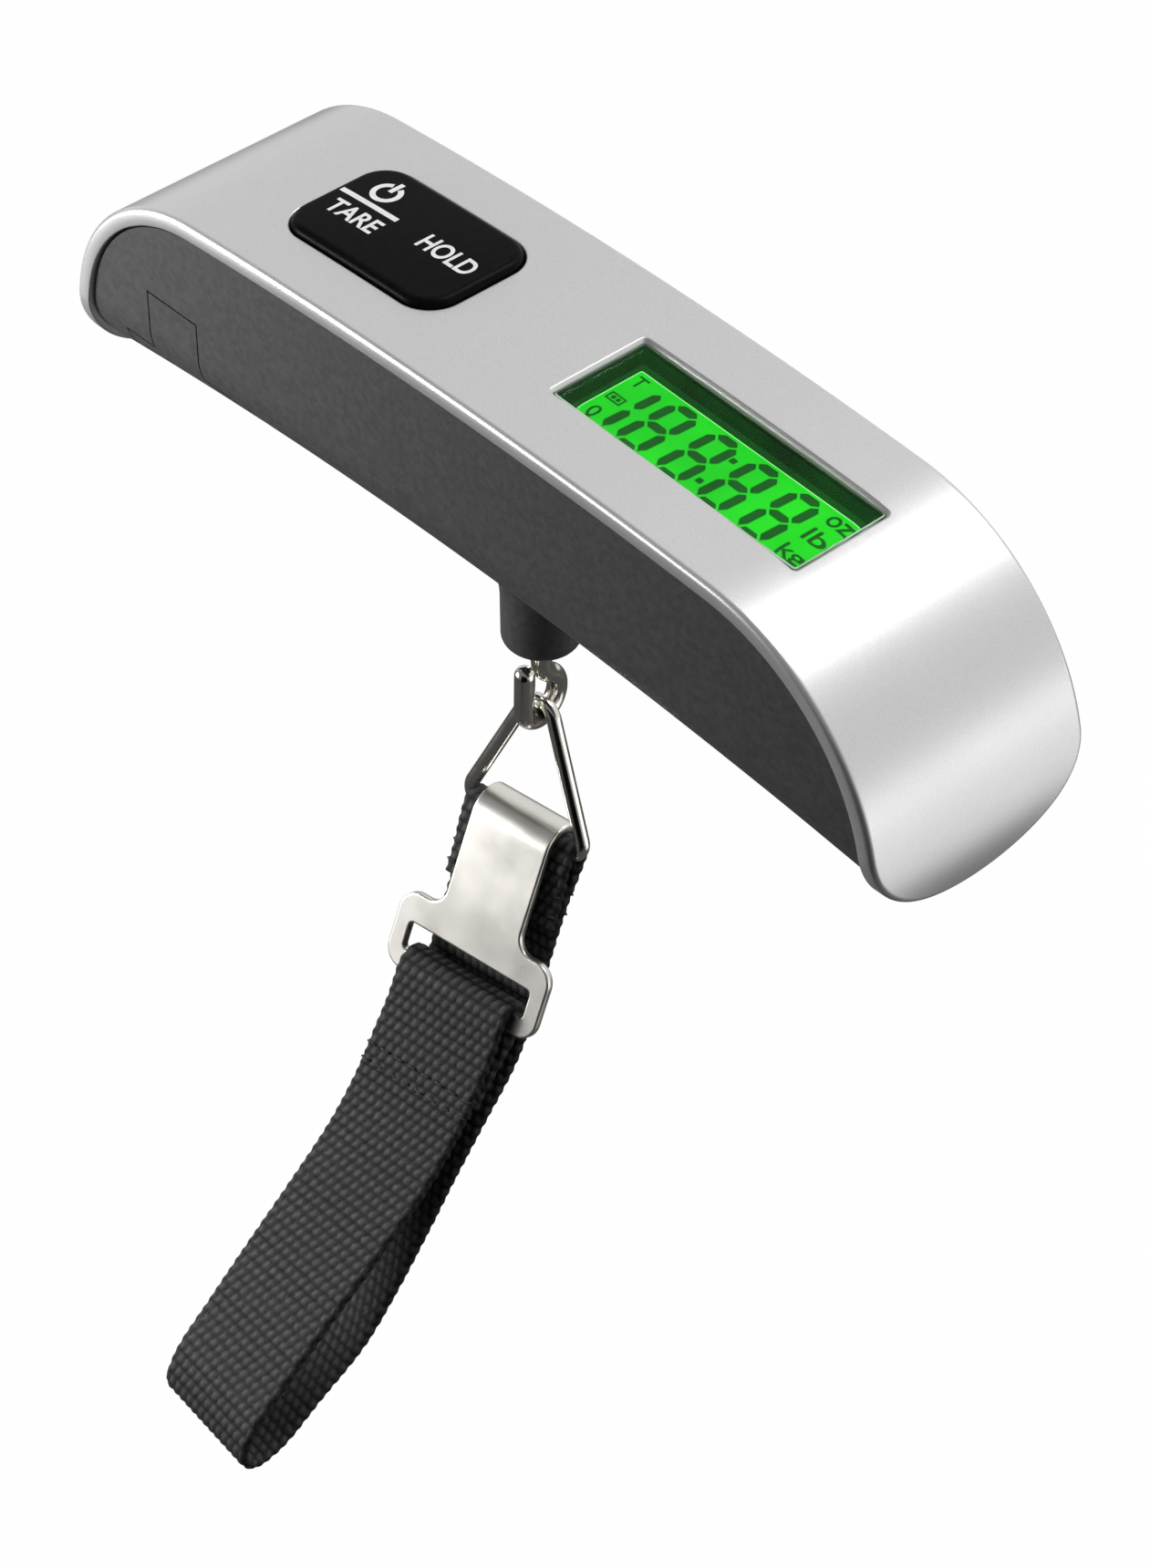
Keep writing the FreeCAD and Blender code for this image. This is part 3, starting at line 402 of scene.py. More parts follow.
def rounded_rect(length, width, corner, middle=(0.0, 0.0), side_step=1.5, turns=8):
    """A rounded rectangle as a counter-clockwise loop."""
    hx, hy = length / 2 - corner, width / 2 - corner
    out = []
    for k, (sx, sy) in enumerate(((1, 1), (-1, 1), (-1, -1), (1, -1))):
        for i in range(turns + 1):
            t = math.pi / 2 * (k + i / turns)
            out.append((sx * hx + corner * math.cos(t), sy * hy + corner * math.sin(t)))
    dense = []
    for a, b in zip(out, out[1:] + out[:1]):
        cuts = max(1, int(math.dist(a, b) / side_step))
        dense += [(a[0] + (b[0] - a[0]) * i / cuts, a[1] + (b[1] - a[1]) * i / cuts) for i in range(cuts)]
    return np.array(dense) + np.array(middle)


# %% [markdown]
# ## The line the cover follows
# Seen from the side, the cover runs up the narrow end, over a very shallow arch and down the wide end. Each
# stretch is a straight run or an arc, so a point at distance `u` along it and `depth` under its skin is
# exact. The flat pattern is a long stadium: where the body's section starts to round below, the pattern
# narrows along an ellipse, and this gives the pointed nose of each end.

# %% Cover line
COVER_LO, COVER_HI = [np.array(c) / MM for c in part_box("top_cover")]
ARCH_R, ARCH_X = 750.0, 3.0
ARCH_Z = COVER_HI[2] - ARCH_R
LEFT_R, RIGHT_R, RIGHT_X = 28.0, 34.0, 48.5
HALF_W = COVER_HI[1]
FOOT_Z, BELLY = 3.5, 14.0
COVER_WALL = 2.6
LEG, NOSE_TURN, RIGHT_SHOULDER = 20.0, 0.7, 25.0

left_c = np.array([COVER_LO[0] + LEFT_R, 0.0])
left_c[1] = ARCH_Z + math.sqrt((ARCH_R - LEFT_R) ** 2 - (left_c[0] - ARCH_X) ** 2)
right_c = np.array([RIGHT_X, ARCH_Z + math.sqrt((ARCH_R - RIGHT_R) ** 2 - (RIGHT_X - ARCH_X) ** 2)])
angle_l = math.atan2(left_c[1] - ARCH_Z, left_c[0] - ARCH_X)
angle_r = math.atan2(right_c[1] - ARCH_Z, right_c[0] - ARCH_X)
runs = [LEG, LEFT_R * (math.pi - angle_l), ARCH_R * (angle_l - angle_r), RIGHT_R * (angle_r + NOSE_TURN)]
marks = np.concatenate([[0.0], np.cumsum(runs)])

# %% Points on the cover


def cover_frame(u):
    """Point (x, z) on the skin and the outward direction there, at distance u."""
    u = np.asarray(u, float)
    up_left = math.pi - (u - marks[1]) / LEFT_R
    over = angle_l - (u - marks[2]) / ARCH_R
    down = angle_r - (u - marks[3]) / RIGHT_R
    angle = np.where(u < marks[1], math.pi,
                     np.where(u < marks[2], up_left, np.where(u < marks[3], over, down)))
    radius = np.where(u < marks[2], LEFT_R, np.where(u < marks[3], ARCH_R, RIGHT_R))
    cx = np.where(u < marks[2], left_c[0], np.where(u < marks[3], ARCH_X, right_c[0]))
    cz = np.where(u < marks[2], left_c[1], np.where(u < marks[3], ARCH_Z, right_c[1]))
    drop = np.where(u < marks[1], u - marks[1], 0.0)
    nx, nz = np.cos(angle), np.sin(angle)
    return cx + radius * nx, cz + radius * nz + drop, nx, nz


def on_cover(u, v, depth):
    """Bends the flat pattern: u along the line, v across the grip, depth under the skin."""
    x, z, nx, nz = cover_frame(u)
    return np.column_stack([x - nx * depth, v, z - nz * depth])


def u_at_x(x):
    """Distance along the line above a given x on the arched top."""
    return marks[2] + ARCH_R * (angle_l - math.acos((x - ARCH_X) / ARCH_R))


def arch_height(u):
    """Height of a point measured square to the arch, as the section of the grip is."""
    x, z, _, _ = cover_frame(u)
    return np.hypot(x - ARCH_X, z - ARCH_Z) + ARCH_Z


# %% The cover's flat outline


def end_reach(low, high):
    """Distances along one end, and half widths there, as the section's ellipse is followed down."""
    u = np.linspace(low, high, 4000)
    h = arch_height(u)
    order = np.argsort(h)
    steps = np.linspace(0, math.pi / 2, 40)
    wanted = FOOT_Z - BELLY * np.sin(steps)
    return np.interp(wanted, h[order], u[order]), HALF_W * np.cos(steps)


left_u, left_w = end_reach(marks[0], marks[2])
right_u, right_w = end_reach(marks[3] + RIGHT_SHOULDER, marks[4])
side_u = np.linspace(left_u[0], right_u[0], 110)[1:-1]
near_edge = [(u, -w) for u, w in zip(left_u[::-1], left_w[::-1])] + [(u, -HALF_W) for u in side_u]
near_edge += [(u, -w) for u, w in zip(right_u, right_w)]
far_edge = [(u, -v) for u, v in near_edge[::-1]][1:-1]
COVER_OUTLINE = np.array(near_edge + far_edge)
print("cover's line is", round(float(right_u[-1] - left_u[-1]), 1), "mm long")

# %% [markdown]
# ## The silver cover
# The rim catches the light because the mould has a small radius there; the window has a thin polished
# chamfer. The keypad's opening is only broken by a tiny radius, since the rubber fills it.

# %% Cover with its two openings
WINDOW_X, KEYPAD_X = 32.7, -27.8
WINDOW_U, KEYPAD_U = u_at_x(WINDOW_X), u_at_x(KEYPAD_X)
WINDOW_L, WINDOW_W, WINDOW_CORNER = 45.0, 16.6, 0.5
KEYPAD_L, KEYPAD_W, KEYPAD_CORNER = 31.0, 20.0, 5.0
KEYPAD_GAP = 0.3
window_hole = rounded_rect(WINDOW_L, WINDOW_W, WINDOW_CORNER, (WINDOW_U, 0.0), 2.0, 5)
keypad_hole = rounded_rect(KEYPAD_L + 2 * KEYPAD_GAP, KEYPAD_W + 2 * KEYPAD_GAP, KEYPAD_CORNER + KEYPAD_GAP,
                           (KEYPAD_U, 0.0), 2.0, 12)
grid_u = np.concatenate([np.arange(left_u[-1], marks[2], 1.1), np.arange(marks[2], marks[3], 3.0),
                         np.arange(marks[3], right_u[-1], 1.1)])
cover_grid = np.array([(u, v) for u in grid_u for v in np.arange(-18.0, 18.1, 2.0)])
window_edge = [(0.1, COVER_WALL), (0.0, COVER_WALL - 0.1), (0.0, 0.6), (0.04, 0.5), (0.42, 0.06), (0.5, 0.01),
               (0.62, 0.0)]
cover = bent_sheet("cover_skin", COVER_OUTLINE, [window_hole, keypad_hole], round_edge(0.85, COVER_WALL, 7),
                   [window_edge, round_edge(0.35, COVER_WALL, 4)], on_cover, cover_grid, 0.9, SILVER)
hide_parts("top_cover")
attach(cover, "grip")

# %% [markdown]
# ## The keypad
# One piece of silicone rubber fills the opening and stands a millimetre proud, with a generous soft edge.
# It follows the arch, so it is bent along the cover's own line, with its top above the skin: a negative
# depth.

# %% Rubber keypad
KEY_PROUD, KEY_CROWN, CROWN_DEPTH = 1.0, 0.22, 1.5


def on_keypad(u, v, depth):
    """The top is crowned by a fraction of a millimetre; the sides and the underside aren't."""
    crown = KEY_CROWN * (1 - ((u - KEYPAD_U) / (KEYPAD_L / 2)) ** 2) * (1 - (v / (KEYPAD_W / 2)) ** 2)
    lift = np.where(depth < CROWN_DEPTH, crown.clip(0), 0.0)
    return on_cover(u, v, depth - KEY_PROUD - lift)


key_loop = rounded_rect(KEYPAD_L, KEYPAD_W, KEYPAD_CORNER, (KEYPAD_U, 0.0), 1.0, 12)
key_grid = np.array([(KEYPAD_U + a, b) for a in np.arange(-15, 15.1, 1.0) for b in np.arange(-9, 9.1, 1.0)])
keypad = bent_sheet("keypad_pad", key_loop, [], round_edge(1.15, 4.6, 8), [], on_keypad, key_grid, 0.5,
                    RUBBER)
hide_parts("keypad")
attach(keypad, "rocker")

# %% [markdown]
# ## Printed signs
# The signs are pad-printed in white after moulding. Print has no thickness to speak of, so each sign is a
# thin flat shape laid on the crowned rubber by the same function that shapes the pad, lifted a few
# hundredths. The power sign is an open ring with a stroke; a bar under it parts it from the word of the
# same key.

# %% Signs on the keypad


def arc_band(radius, width, start, stop, middle, steps=40):
    """An open ring as a grid of points and quads."""
    points, quads = [], []
    for i in range(steps + 1):
        t = math.radians(start + (stop - start) * i / steps)
        for r in (radius - width / 2, radius + width / 2):
            points.append((middle[0] + r * math.cos(t), middle[1] + r * math.sin(t)))
    for i in range(steps):
        quads.append((2 * i, 2 * i + 1, 2 * i + 3, 2 * i + 2))
    return points, quads


def bar(x0, x1, y0, y1, parts=12):
    """A straight bar, cut across its length so that it can follow a bent surface."""
    points, quads = [], []
    for i in range(parts + 1):
        x = x0 + (x1 - x0) * i / parts
        y = y0 + (y1 - y0) * i / parts
        points += [(x, y0), (x, y1)] if abs(x1 - x0) > abs(y1 - y0) else [(x0, y), (x1, y)]
    for i in range(parts):
        quads.append((2 * i, 2 * i + 1, 2 * i + 3, 2 * i + 2))
    return points, quads


# %% Words and laid print


def word(text, left, base, width, height, weight=0.012):
    """Letters scaled to the given width and height, as points and faces; the weight thickens the strokes."""
    curve = bpy.data.curves.new(text, "FONT")
    curve.body = text
    curve.offset = weight
    curve.resolution_u = 6
    obj = bpy.data.objects.new(text, curve)
    bpy.context.scene.collection.objects.link(obj)
    bpy.context.view_layer.update()
    mesh = bpy.data.meshes.new_from_object(obj.evaluated_get(bpy.context.evaluated_depsgraph_get()))
    co = np.array([v.co[:2] for v in mesh.vertices])
    low, high = co.min(0), co.max(0)
    co = (co - low) / (high - low) * np.array([width, height]) + np.array([left, base])
    faces = [tuple(p.vertices) for p in mesh.polygons]
    bpy.data.objects.remove(obj)
    bpy.data.curves.remove(curve)
    bpy.data.meshes.remove(mesh)
    return [tuple(c) for c in co], faces


def merged(shapes):
    """Several flat shapes as one list of points and one of faces."""
    points, faces = [], []
    for more, quads in shapes:
        faces += [tuple(i + len(points) for i in f) for f in quads]
        points += list(more)
    return points, faces


def laid_print(name, shapes, lay, material, body):
    """Joins flat shapes into one thin piece and lays it on a surface with lay(a, b)."""
    points, faces = merged(shapes)
    flat = np.array(points)
    obj = make_object(name, lay(flat[:, 0], flat[:, 1]) * MM, faces, material, False)
    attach(obj, body)
    print(name, "joins", len(shapes), "signs")
    return obj


# %% The keypad's signs
PRINT_LIFT, KEY_TYPE = 0.03, 0.022


def on_key_top(a, b):
    return on_keypad(KEYPAD_U + a, b, np.full(len(a), -PRINT_LIFT))


key_signs = [arc_band(1.95, 0.85, 110, 425, (-8.9, 4.2)), bar(-9.2, -8.4, 4.6, 7.2),
             bar(-14.2, -2.7, 0.25, 1.15), word("TARE", -12.6, -4.2, 9.6, 3.2, KEY_TYPE),
             word("HOLD", 3.0, -1.4, 10.0, 3.5, KEY_TYPE)]
laid_print("keypad_print", key_signs, on_key_top, PRINT, "rocker")

# %% [markdown]
# ## The lit display
# A clear lens sits just under the window's chamfer. Below it a dark frame makes a well; the little green
# light it would catch from the display is painted on it as a dim green glow. At its foot lies the glass, lit
# from behind. The glass carries a film whose cut edge is painted as a bright highlight line over its backlit
# glow, and the lens's own cut edge is painted as a bright line too. The dark liquid-crystal segments lie just
# above the film.

# %% Clear and lit materials


def clear_lens():
    mat, tree, bsdf = new_material("clear_lens")
    where = object_coords(tree)
    smear = noise(tree, where, 90.0, 3.0)
    join(tree, spread(tree, smear, 0.0, 0.05), bsdf.inputs["Roughness"])
    join(tree, mix_colors(tree, smear, (0.97, 1.0, 0.98), (0.99, 1.0, 0.99)), bsdf.inputs["Base Color"])
    bsdf.inputs["Transmission Weight"].default_value = 1.0
    bsdf.inputs["IOR"].default_value = 1.12
    bsdf.inputs["Specular IOR Level"].default_value = 0.05
    return mat


def lit_film(name, core, rim, strength, rough=0.25):
    """A dark surface that gives green light, mixed in soft clouds from a rim colour and a core colour."""
    mat, tree, bsdf = new_material(name)
    where = object_coords(tree)
    cloud = noise(tree, where, 75.0, 2.0)
    lit = mix_colors(tree, spread(tree, cloud, 0, 1, 0.35, 0.65), rim, core)
    bsdf.inputs["Base Color"].default_value = (0.004, 0.03, 0.006, 1)
    join(tree, lit, bsdf.inputs["Emission Color"])
    bsdf.inputs["Emission Strength"].default_value = strength
    bsdf.inputs["Roughness"].default_value = rough
    bsdf.inputs["Specular IOR Level"].default_value = 0.03
    return mat


# %% The display's materials
LENS = clear_lens()
# Painted glow: the dark frame gets a dim green emission that stands for the display's light falling on it;
# the frame is no lamp.
FRAME_PAINTED_GLOW = lit_film("display_frame_painted_glow", (0.001, 0.05, 0.003), (0.0005, 0.012, 0.001), 0.8, 0.2)
give_finish("display_bezel", FRAME_PAINTED_GLOW)
GLOW = lit_film("lcd_glow", (0.012, 0.76, 0.01), (0.006, 0.6, 0.008), 1.0)
GLASS_DIM = lit_film("lcd_glass_edge", (0.003, 0.16, 0.008), (0.001, 0.07, 0.004), 0.6, 0.12)
DARK_CRYSTAL = lit_film("lcd_segment", (0.0015, 0.12, 0.004), (0.001, 0.09, 0.003), 0.8)
# The backlit film's cut edge glows, and is painted paler and brighter than the film's face as a highlight
# line.
FILM_EDGE_GLOW_AND_HIGHLIGHT = lit_film("lcd_film_edge_lit_and_painted_highlight", (0.4, 0.98, 0.4), (0.2, 0.85, 0.2), 1.0)
# Painted highlight: a pale green emission for the clear lens's cut edge, drawn as a bright line; the lens is
# no lamp.
LENS_PAINTED_HIGHLIGHT = lit_film("lens_edge_painted_highlight", (0.3, 0.5, 0.3), (0.5, 0.62, 0.5), 1.0)

# %% Flat seats under the arch


def seat(x, depth):
    """Origin, long direction and outward direction of a flat seat laid under the arch at x."""
    t = math.asin((x - ARCH_X) / ARCH_R)
    out = np.array([math.sin(t), 0, math.cos(t)])
    base = np.array([ARCH_X, 0, ARCH_Z]) + out * (ARCH_R - depth)
    return base, np.array([math.cos(t), 0, -math.sin(t)]), out


def flat_place(x, top_depth):
    """A place function for a flat sheet that lies under the arch at x."""
    base, along, out = seat(x, top_depth)

    def place(a, b, depth):
        a, b, depth = (np.broadcast_to(np.asarray(q, float), np.shape(a)) for q in (a, b, depth))
        return base + a[:, None] * along + b[:, None] * np.array([0, 1.0, 0]) - depth[:, None] * out
    return place


def edge_glow(obj, material, rows, loop):
    """Gives some rows of faces round a sheet's outline another material; rows count from the underside."""
    obj.data.materials.append(material)
    for face in obj.data.polygons[rows.start * len(loop):rows.stop * len(loop)]:
        face.material_index = 1


# %% The lens
LENS_DEPTH, GLASS_DEPTH = 0.85, 4.3
chamfer = [(0.12, 1.0), (0.0, 0.88), (0.0, 0.15), (0.15, 0.0), (0.25, 0.0)]
lens_loop = rounded_rect(44.6, 16.2, 0.5, (0, 0), 2.0, 4)
spare_grid = np.array([(a, b) for a in np.arange(-20, 21, 4.0) for b in np.arange(-6, 7, 3.0)])
lens = bent_sheet("lens_plate", lens_loop, [], chamfer, [], flat_place(WINDOW_X, LENS_DEPTH), spare_grid, 0.8,
                  LENS)
# Painted highlight: the lens's top chamfer takes the emissive edge material.
edge_glow(lens, LENS_PAINTED_HIGHLIGHT, range(2, 3), lens_loop)
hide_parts("lcd_window")
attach(lens, "grip")

# %% The glass
glass_edge = [(0.1, 1.8), (0.0, 1.7), (0.0, 0.1), (0.1, 0.0), (0.2, 0.0)]
pane = bent_sheet("lcd_pane", rounded_rect(47.5, 20.0, 0.3, (0, 0), 2.0, 4), [], glass_edge, [],
                  flat_place(WINDOW_X, GLASS_DEPTH), spare_grid, 0.8, GLASS_DIM)
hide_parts("lcd_glass")
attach(pane, "grip")

# %% The lit film
film_loop = rounded_rect(44.4, 14.2, 0.3, (1.2, -0.55), 2.0, 4)
FILM_THK = 0.2
film_edge = [(0.0, FILM_THK), (0.0, 0.02), (0.02, 0.0), (0.2, 0.0)]
FILM_DEPTH = GLASS_DEPTH - FILM_THK
film = bent_sheet("lcd_film", film_loop, [], film_edge, [], flat_place(WINDOW_X, FILM_DEPTH), spare_grid, 0.8,
                  GLOW)
# Painted highlight: the film's side walls and top rounding take the brighter edge emission.
edge_glow(film, FILM_EDGE_GLOW_AND_HIGHLIGHT, range(0, 3), film_loop)
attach(film, "grip")

# %% [markdown]
# ## Segments by Geometry Nodes
# All four digits are the same seven segments, so one digit is drawn and a small node tree repeats it. The
# tree has named inputs, makes a line of points, puts the digit on each point, and ends in real geometry
# with its material. Reading the result back as a plain mesh keeps the finished piece free of modifiers.

# %% Repeating with nodes
SOCKETS = {"count": "NodeSocketInt", "offset": "NodeSocketVector", "material": "NodeSocketMaterial"}


def repeat_tree():
    """Geometry, count, offset and material in; a straight row of real copies out."""
    tree = bpy.data.node_groups.new("repeat_along_line", "GeometryNodeTree")
    face = tree.interface
    face.new_socket("Geometry", in_out="INPUT", socket_type="NodeSocketGeometry")
    for name, kind in SOCKETS.items():
        face.new_socket(name, in_out="INPUT", socket_type=kind)
    face.new_socket("Geometry", in_out="OUTPUT", socket_type="NodeSocketGeometry")
    start, stop = tree.nodes.new("NodeGroupInput"), tree.nodes.new("NodeGroupOutput")
    line = tree.nodes.new("GeometryNodeMeshLine")
    line.mode = "OFFSET"
    spots = tree.nodes.new("GeometryNodeInstanceOnPoints")
    real = tree.nodes.new("GeometryNodeRealizeInstances")
    paint = tree.nodes.new("GeometryNodeSetMaterial")
    join(tree, start.outputs["count"], line.inputs["Count"])
    join(tree, start.outputs["offset"], line.inputs["Offset"])
    join(tree, line.outputs["Mesh"], spots.inputs["Points"])
    join(tree, start.outputs["Geometry"], spots.inputs["Instance"])
    join(tree, spots.outputs["Instances"], real.inputs["Geometry"])
    join(tree, real.outputs["Geometry"], paint.inputs["Geometry"])
    join(tree, start.outputs["material"], paint.inputs["Material"])
    join(tree, paint.outputs["Geometry"], stop.inputs["Geometry"])
    return tree


# %% A row of one shape
REPEAT = repeat_tree()
print("the tree", REPEAT.name, "takes", ", ".join(SOCKETS))


def repeated(name, points, faces, count, offset, material, smooth=False):
    """One shape repeated along a straight line, as a plain mesh object."""
    source = make_object(name + "_one", points, faces, material, smooth)
    mod = source.modifiers.new("repeat", "NODES")
    mod.node_group = REPEAT
    ids = {item.name: item.identifier for item in REPEAT.interface.items_tree if item.in_out == "INPUT"}
    mod[ids["count"]] = count
    mod[ids["offset"]] = tuple(float(c) for c in offset)
    mod[ids["material"]] = material
    bpy.context.view_layer.update()
    mesh = bpy.data.meshes.new_from_object(source.evaluated_get(bpy.context.evaluated_depsgraph_get()))
    bpy.data.objects.remove(source)
    obj = bpy.data.objects.new(name, mesh)
    bpy.context.scene.collection.objects.link(obj)
    return obj


# %% Four digits
STROKE, HALF_W_DIGIT, HALF_H_DIGIT, DIGIT_STEP = 1.45, 1.95, 2.6, 7.55
FLAT_HALF, TALL_HALF, SLANT = 1.75, 2.3, 0.06
DIGITS, FIRST_DIGIT_X = 4, -11.2


def segment(x, y, half, upright):
    """One pointed bar of a digit, leaning a little as the digits do."""
    s = STROKE / 2
    shape = [(-half, 0), (-half + s, -s), (half - s, -s), (half, 0), (half - s, s), (-half + s, s)]
    pts = [(x + (q if upright else p), y + (p if upright else q)) for p, q in shape]
    pts = [(a + SLANT * b, b) for a, b in pts]
    return pts, [tuple(range(6)) if not upright else tuple(range(5, -1, -1))]


def digit(x):
    """All seven segments of one digit."""
    flat = [segment(x, y, FLAT_HALF, False) for y in (-2 * HALF_H_DIGIT, 0.0, 2 * HALF_H_DIGIT)]
    tall = [segment(x + a * HALF_W_DIGIT, b * HALF_H_DIGIT, TALL_HALF, True)
            for a in (-1, 1) for b in (-1, 1)]
    return flat + tall


on_film = flat_place(WINDOW_X, FILM_DEPTH - PRINT_LIFT)
digit_points, digit_faces = merged(digit(FIRST_DIGIT_X))
flat = np.array(digit_points)
along = seat(WINDOW_X, 0)[1]
digits = repeated("lcd_digits", on_film(flat[:, 0], flat[:, 1], 0) * MM, digit_faces, DIGITS,
                  along * DIGIT_STEP * MM, DARK_CRYSTAL)
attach(digits, "grip")
print("lcd_digits has", len(digits.data.polygons), "segments")

# %% [markdown]
# ## The other marks of the display
# Round the digits stand the half digit for a hundred, the colon, the three units and, at the left end, a
# tare sign, a battery and a zero. They are drawn with the same bars and letters as the keypad's signs.

# %% Marks
marks_drawn = [segment(-15.9, b * HALF_H_DIGIT, TALL_HALF, True) for b in (-1, 1)]
marks_drawn += [bar(-0.55, 0.45, y - 0.5, y + 0.5, 1) for y in (-3.0, 3.0)]
marks_drawn += [word("kg", 15.7, -5.7, 4.0, 3.2), word("lb", 15.9, -0.8, 3.4, 2.9),
                word("oz", 15.8, 3.5, 3.8, 2.2)]
battery_frame = [(-20.3, -17.6, -0.9, -0.6), (-20.3, -17.6, 0.5, 0.8), (-20.3, -20.0, -0.9, 0.8),
                 (-17.9, -17.6, -0.9, 0.8)]
battery_cells = [(-19.7, -19.0, -0.4, 0.3), (-18.8, -18.2, -0.4, 0.3)]
marks_drawn += [bar(*sides, 1) for sides in battery_frame + battery_cells]
marks_drawn += [word("T", -20.2, 3.4, 1.8, 2.3), word("0", -19.8, -5.0, 1.6, 2.3)]
laid_print("lcd_marks", marks_drawn, lambda p, q: on_film(p, q, 0), DARK_CRYSTAL, "grip")

# %% [markdown]
# ## The pressed clasp plate
# The plate is stamped from 1.4 mm steel, its edges tumbled round, then folded over the ring's bar. Built
# flat, its outline is simple: a foot with a slot, two ears, a neck and the tongue that becomes the fold's
# far leg. The joints say where the ring's bar is, so the plate is bent straight into its place.

# %% Clasp plate
JOINTS = {j["name"]: j for j in frame["joints"]}
SIDE = np.array(JOINTS["clasp_swing"]["axis"])
FORE = np.cross([0, 0, 1.0], SIDE)
BAR = np.array(JOINTS["clasp_swing"]["pos_m"]) / MM
SLOT_BAR = np.array(JOINTS["strap_swing"]["pos_m"]) / MM
PLATE_LEAN = math.radians(-25.0)
PLATE_THK, FOLD_IN = 1.4, 2.75
FOLD_OUT = FOLD_IN + PLATE_THK


def in_plate(side, fore, up):
    """Points given in the leaned plate's own frame, about the ring's bar."""
    c, s = math.cos(PLATE_LEAN), math.sin(PLATE_LEAN)
    y, z = fore * c - up * s, fore * s + up * c
    return (BAR + np.multiply.outer(side, SIDE) + np.multiply.outer(y, FORE)
            + np.multiply.outer(z, [0, 0, 1.0]))


def on_plate(u, v, depth):
    """Folds the flat plate: straight below v = 0, half a turn round the bar above it, then straight down."""
    reach = FOLD_OUT - depth
    turn_at = np.clip(v / FOLD_OUT, 0, math.pi)
    past = np.clip(v - math.pi * FOLD_OUT, 0, None)
    fore = -reach * np.cos(turn_at)
    up = reach * np.sin(turn_at) + np.minimum(v, 0) - past
    return in_plate(u, fore, up)


# %% Corners with fillets


def filleted(corners, step=0.5):
    """A closed loop through corners given as (x, y, radius), rounded with tangent arcs."""
    out, n = [], len(corners)
    for i in range(n):
        here = np.array(corners[i][:2])
        back = np.array(corners[i - 1][:2]) - here
        ahead = np.array(corners[(i + 1) % n][:2]) - here
        back, ahead = back / np.linalg.norm(back), ahead / np.linalg.norm(ahead)
        half = math.acos(np.clip(back @ ahead, -1, 1)) / 2
        radius = corners[i][2]
        centre = here + (back + ahead) / np.linalg.norm(back + ahead) * radius / math.sin(half)
        first = here + back * radius / math.tan(half) - centre
        sweep = math.pi - 2 * half
        sign = 1 if back[0] * ahead[1] - back[1] * ahead[0] < 0 else -1
        cuts = max(3, int(radius * sweep / 0.22))
        for k in range(cuts + 1):
            t = sign * sweep * k / cuts
            out.append(centre + np.array([first[0] * math.cos(t) - first[1] * math.sin(t),
                                          first[0] * math.sin(t) + first[1] * math.cos(t)]))
    dense = []
    for p, q in zip(out, out[1:] + out[:1]):
        cuts = max(1, int(np.linalg.norm(q - p) / step))
        dense += [p + (q - p) * k / cuts for k in range(cuts)]
    return np.array(dense)


# %% [markdown]
# The foot is wider than the tape, so its ears stand out beside it, and the slot leaves a flat bar at the
# bottom for the tape to wrap round.

# %% The plate's flat pattern
NECK, EAR, FOOT, SHOULDER, TONGUE = 7.0, 14.0, -27.8, -15.6, math.pi * FOLD_OUT + 9.0
plate_corners = [(-EAR, FOOT, 3.2), (EAR, FOOT, 3.2), (EAR, SHOULDER, 3.2), (NECK, SHOULDER, 2.6),
                 (NECK, TONGUE, 0.8), (-NECK, TONGUE, 0.8), (-NECK, SHOULDER, 2.6), (-EAR, SHOULDER, 3.2)]
slot_corners = [(-11.3, -24.6, 0.7), (11.3, -24.6, 0.7), (11.3, -20.2, 0.7), (-11.3, -20.2, 0.7)]
plate_grid = np.array([(a, b) for a in np.arange(-13.5, 13.6, 0.75) for b in np.arange(FOOT, TONGUE, 0.6)])
plate = bent_sheet("clasp_pressing", filleted(plate_corners), [filleted(slot_corners)],
                   round_edge(0.32, PLATE_THK, 5, 0.32), [round_edge(0.3, PLATE_THK, 5, 0.3)],
                   on_plate, plate_grid, 0.45, PLATE_NICKEL)
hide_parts("clasp_plate")
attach(plate, "clasp")

# %% [markdown]
# ## The webbing
# The strap is one length of woven tape. Its hem is sewn round the ring's bar, it runs down behind the
# plate, turns in a loose loop and comes up to the plate's slot, where its end turns back inside. Tape this
# stiff bends only across its width, so a line in the swing plane with a slow twist gives its whole shape.

# %% The webbing's line
WEB_W, WEB_T = 20.0, 1.2
HEM_R, SLOT_R = 1.8, 2.4


def ring_of(centre, radius, start, stop, steps):
    """Points on an arc about a centre, its angles in degrees."""
    angles = np.radians(np.linspace(start, stop, steps + 1))
    return [centre + radius * np.array([math.cos(t), math.sin(t)]) for t in angles]


def plane_of(point):
    """A point of space in the swing plane: how far fore, and how far up."""
    return np.array([point @ FORE, point[2]])


def beside_plate(fore, up):
    return plane_of(in_plate(0.0, fore, up))


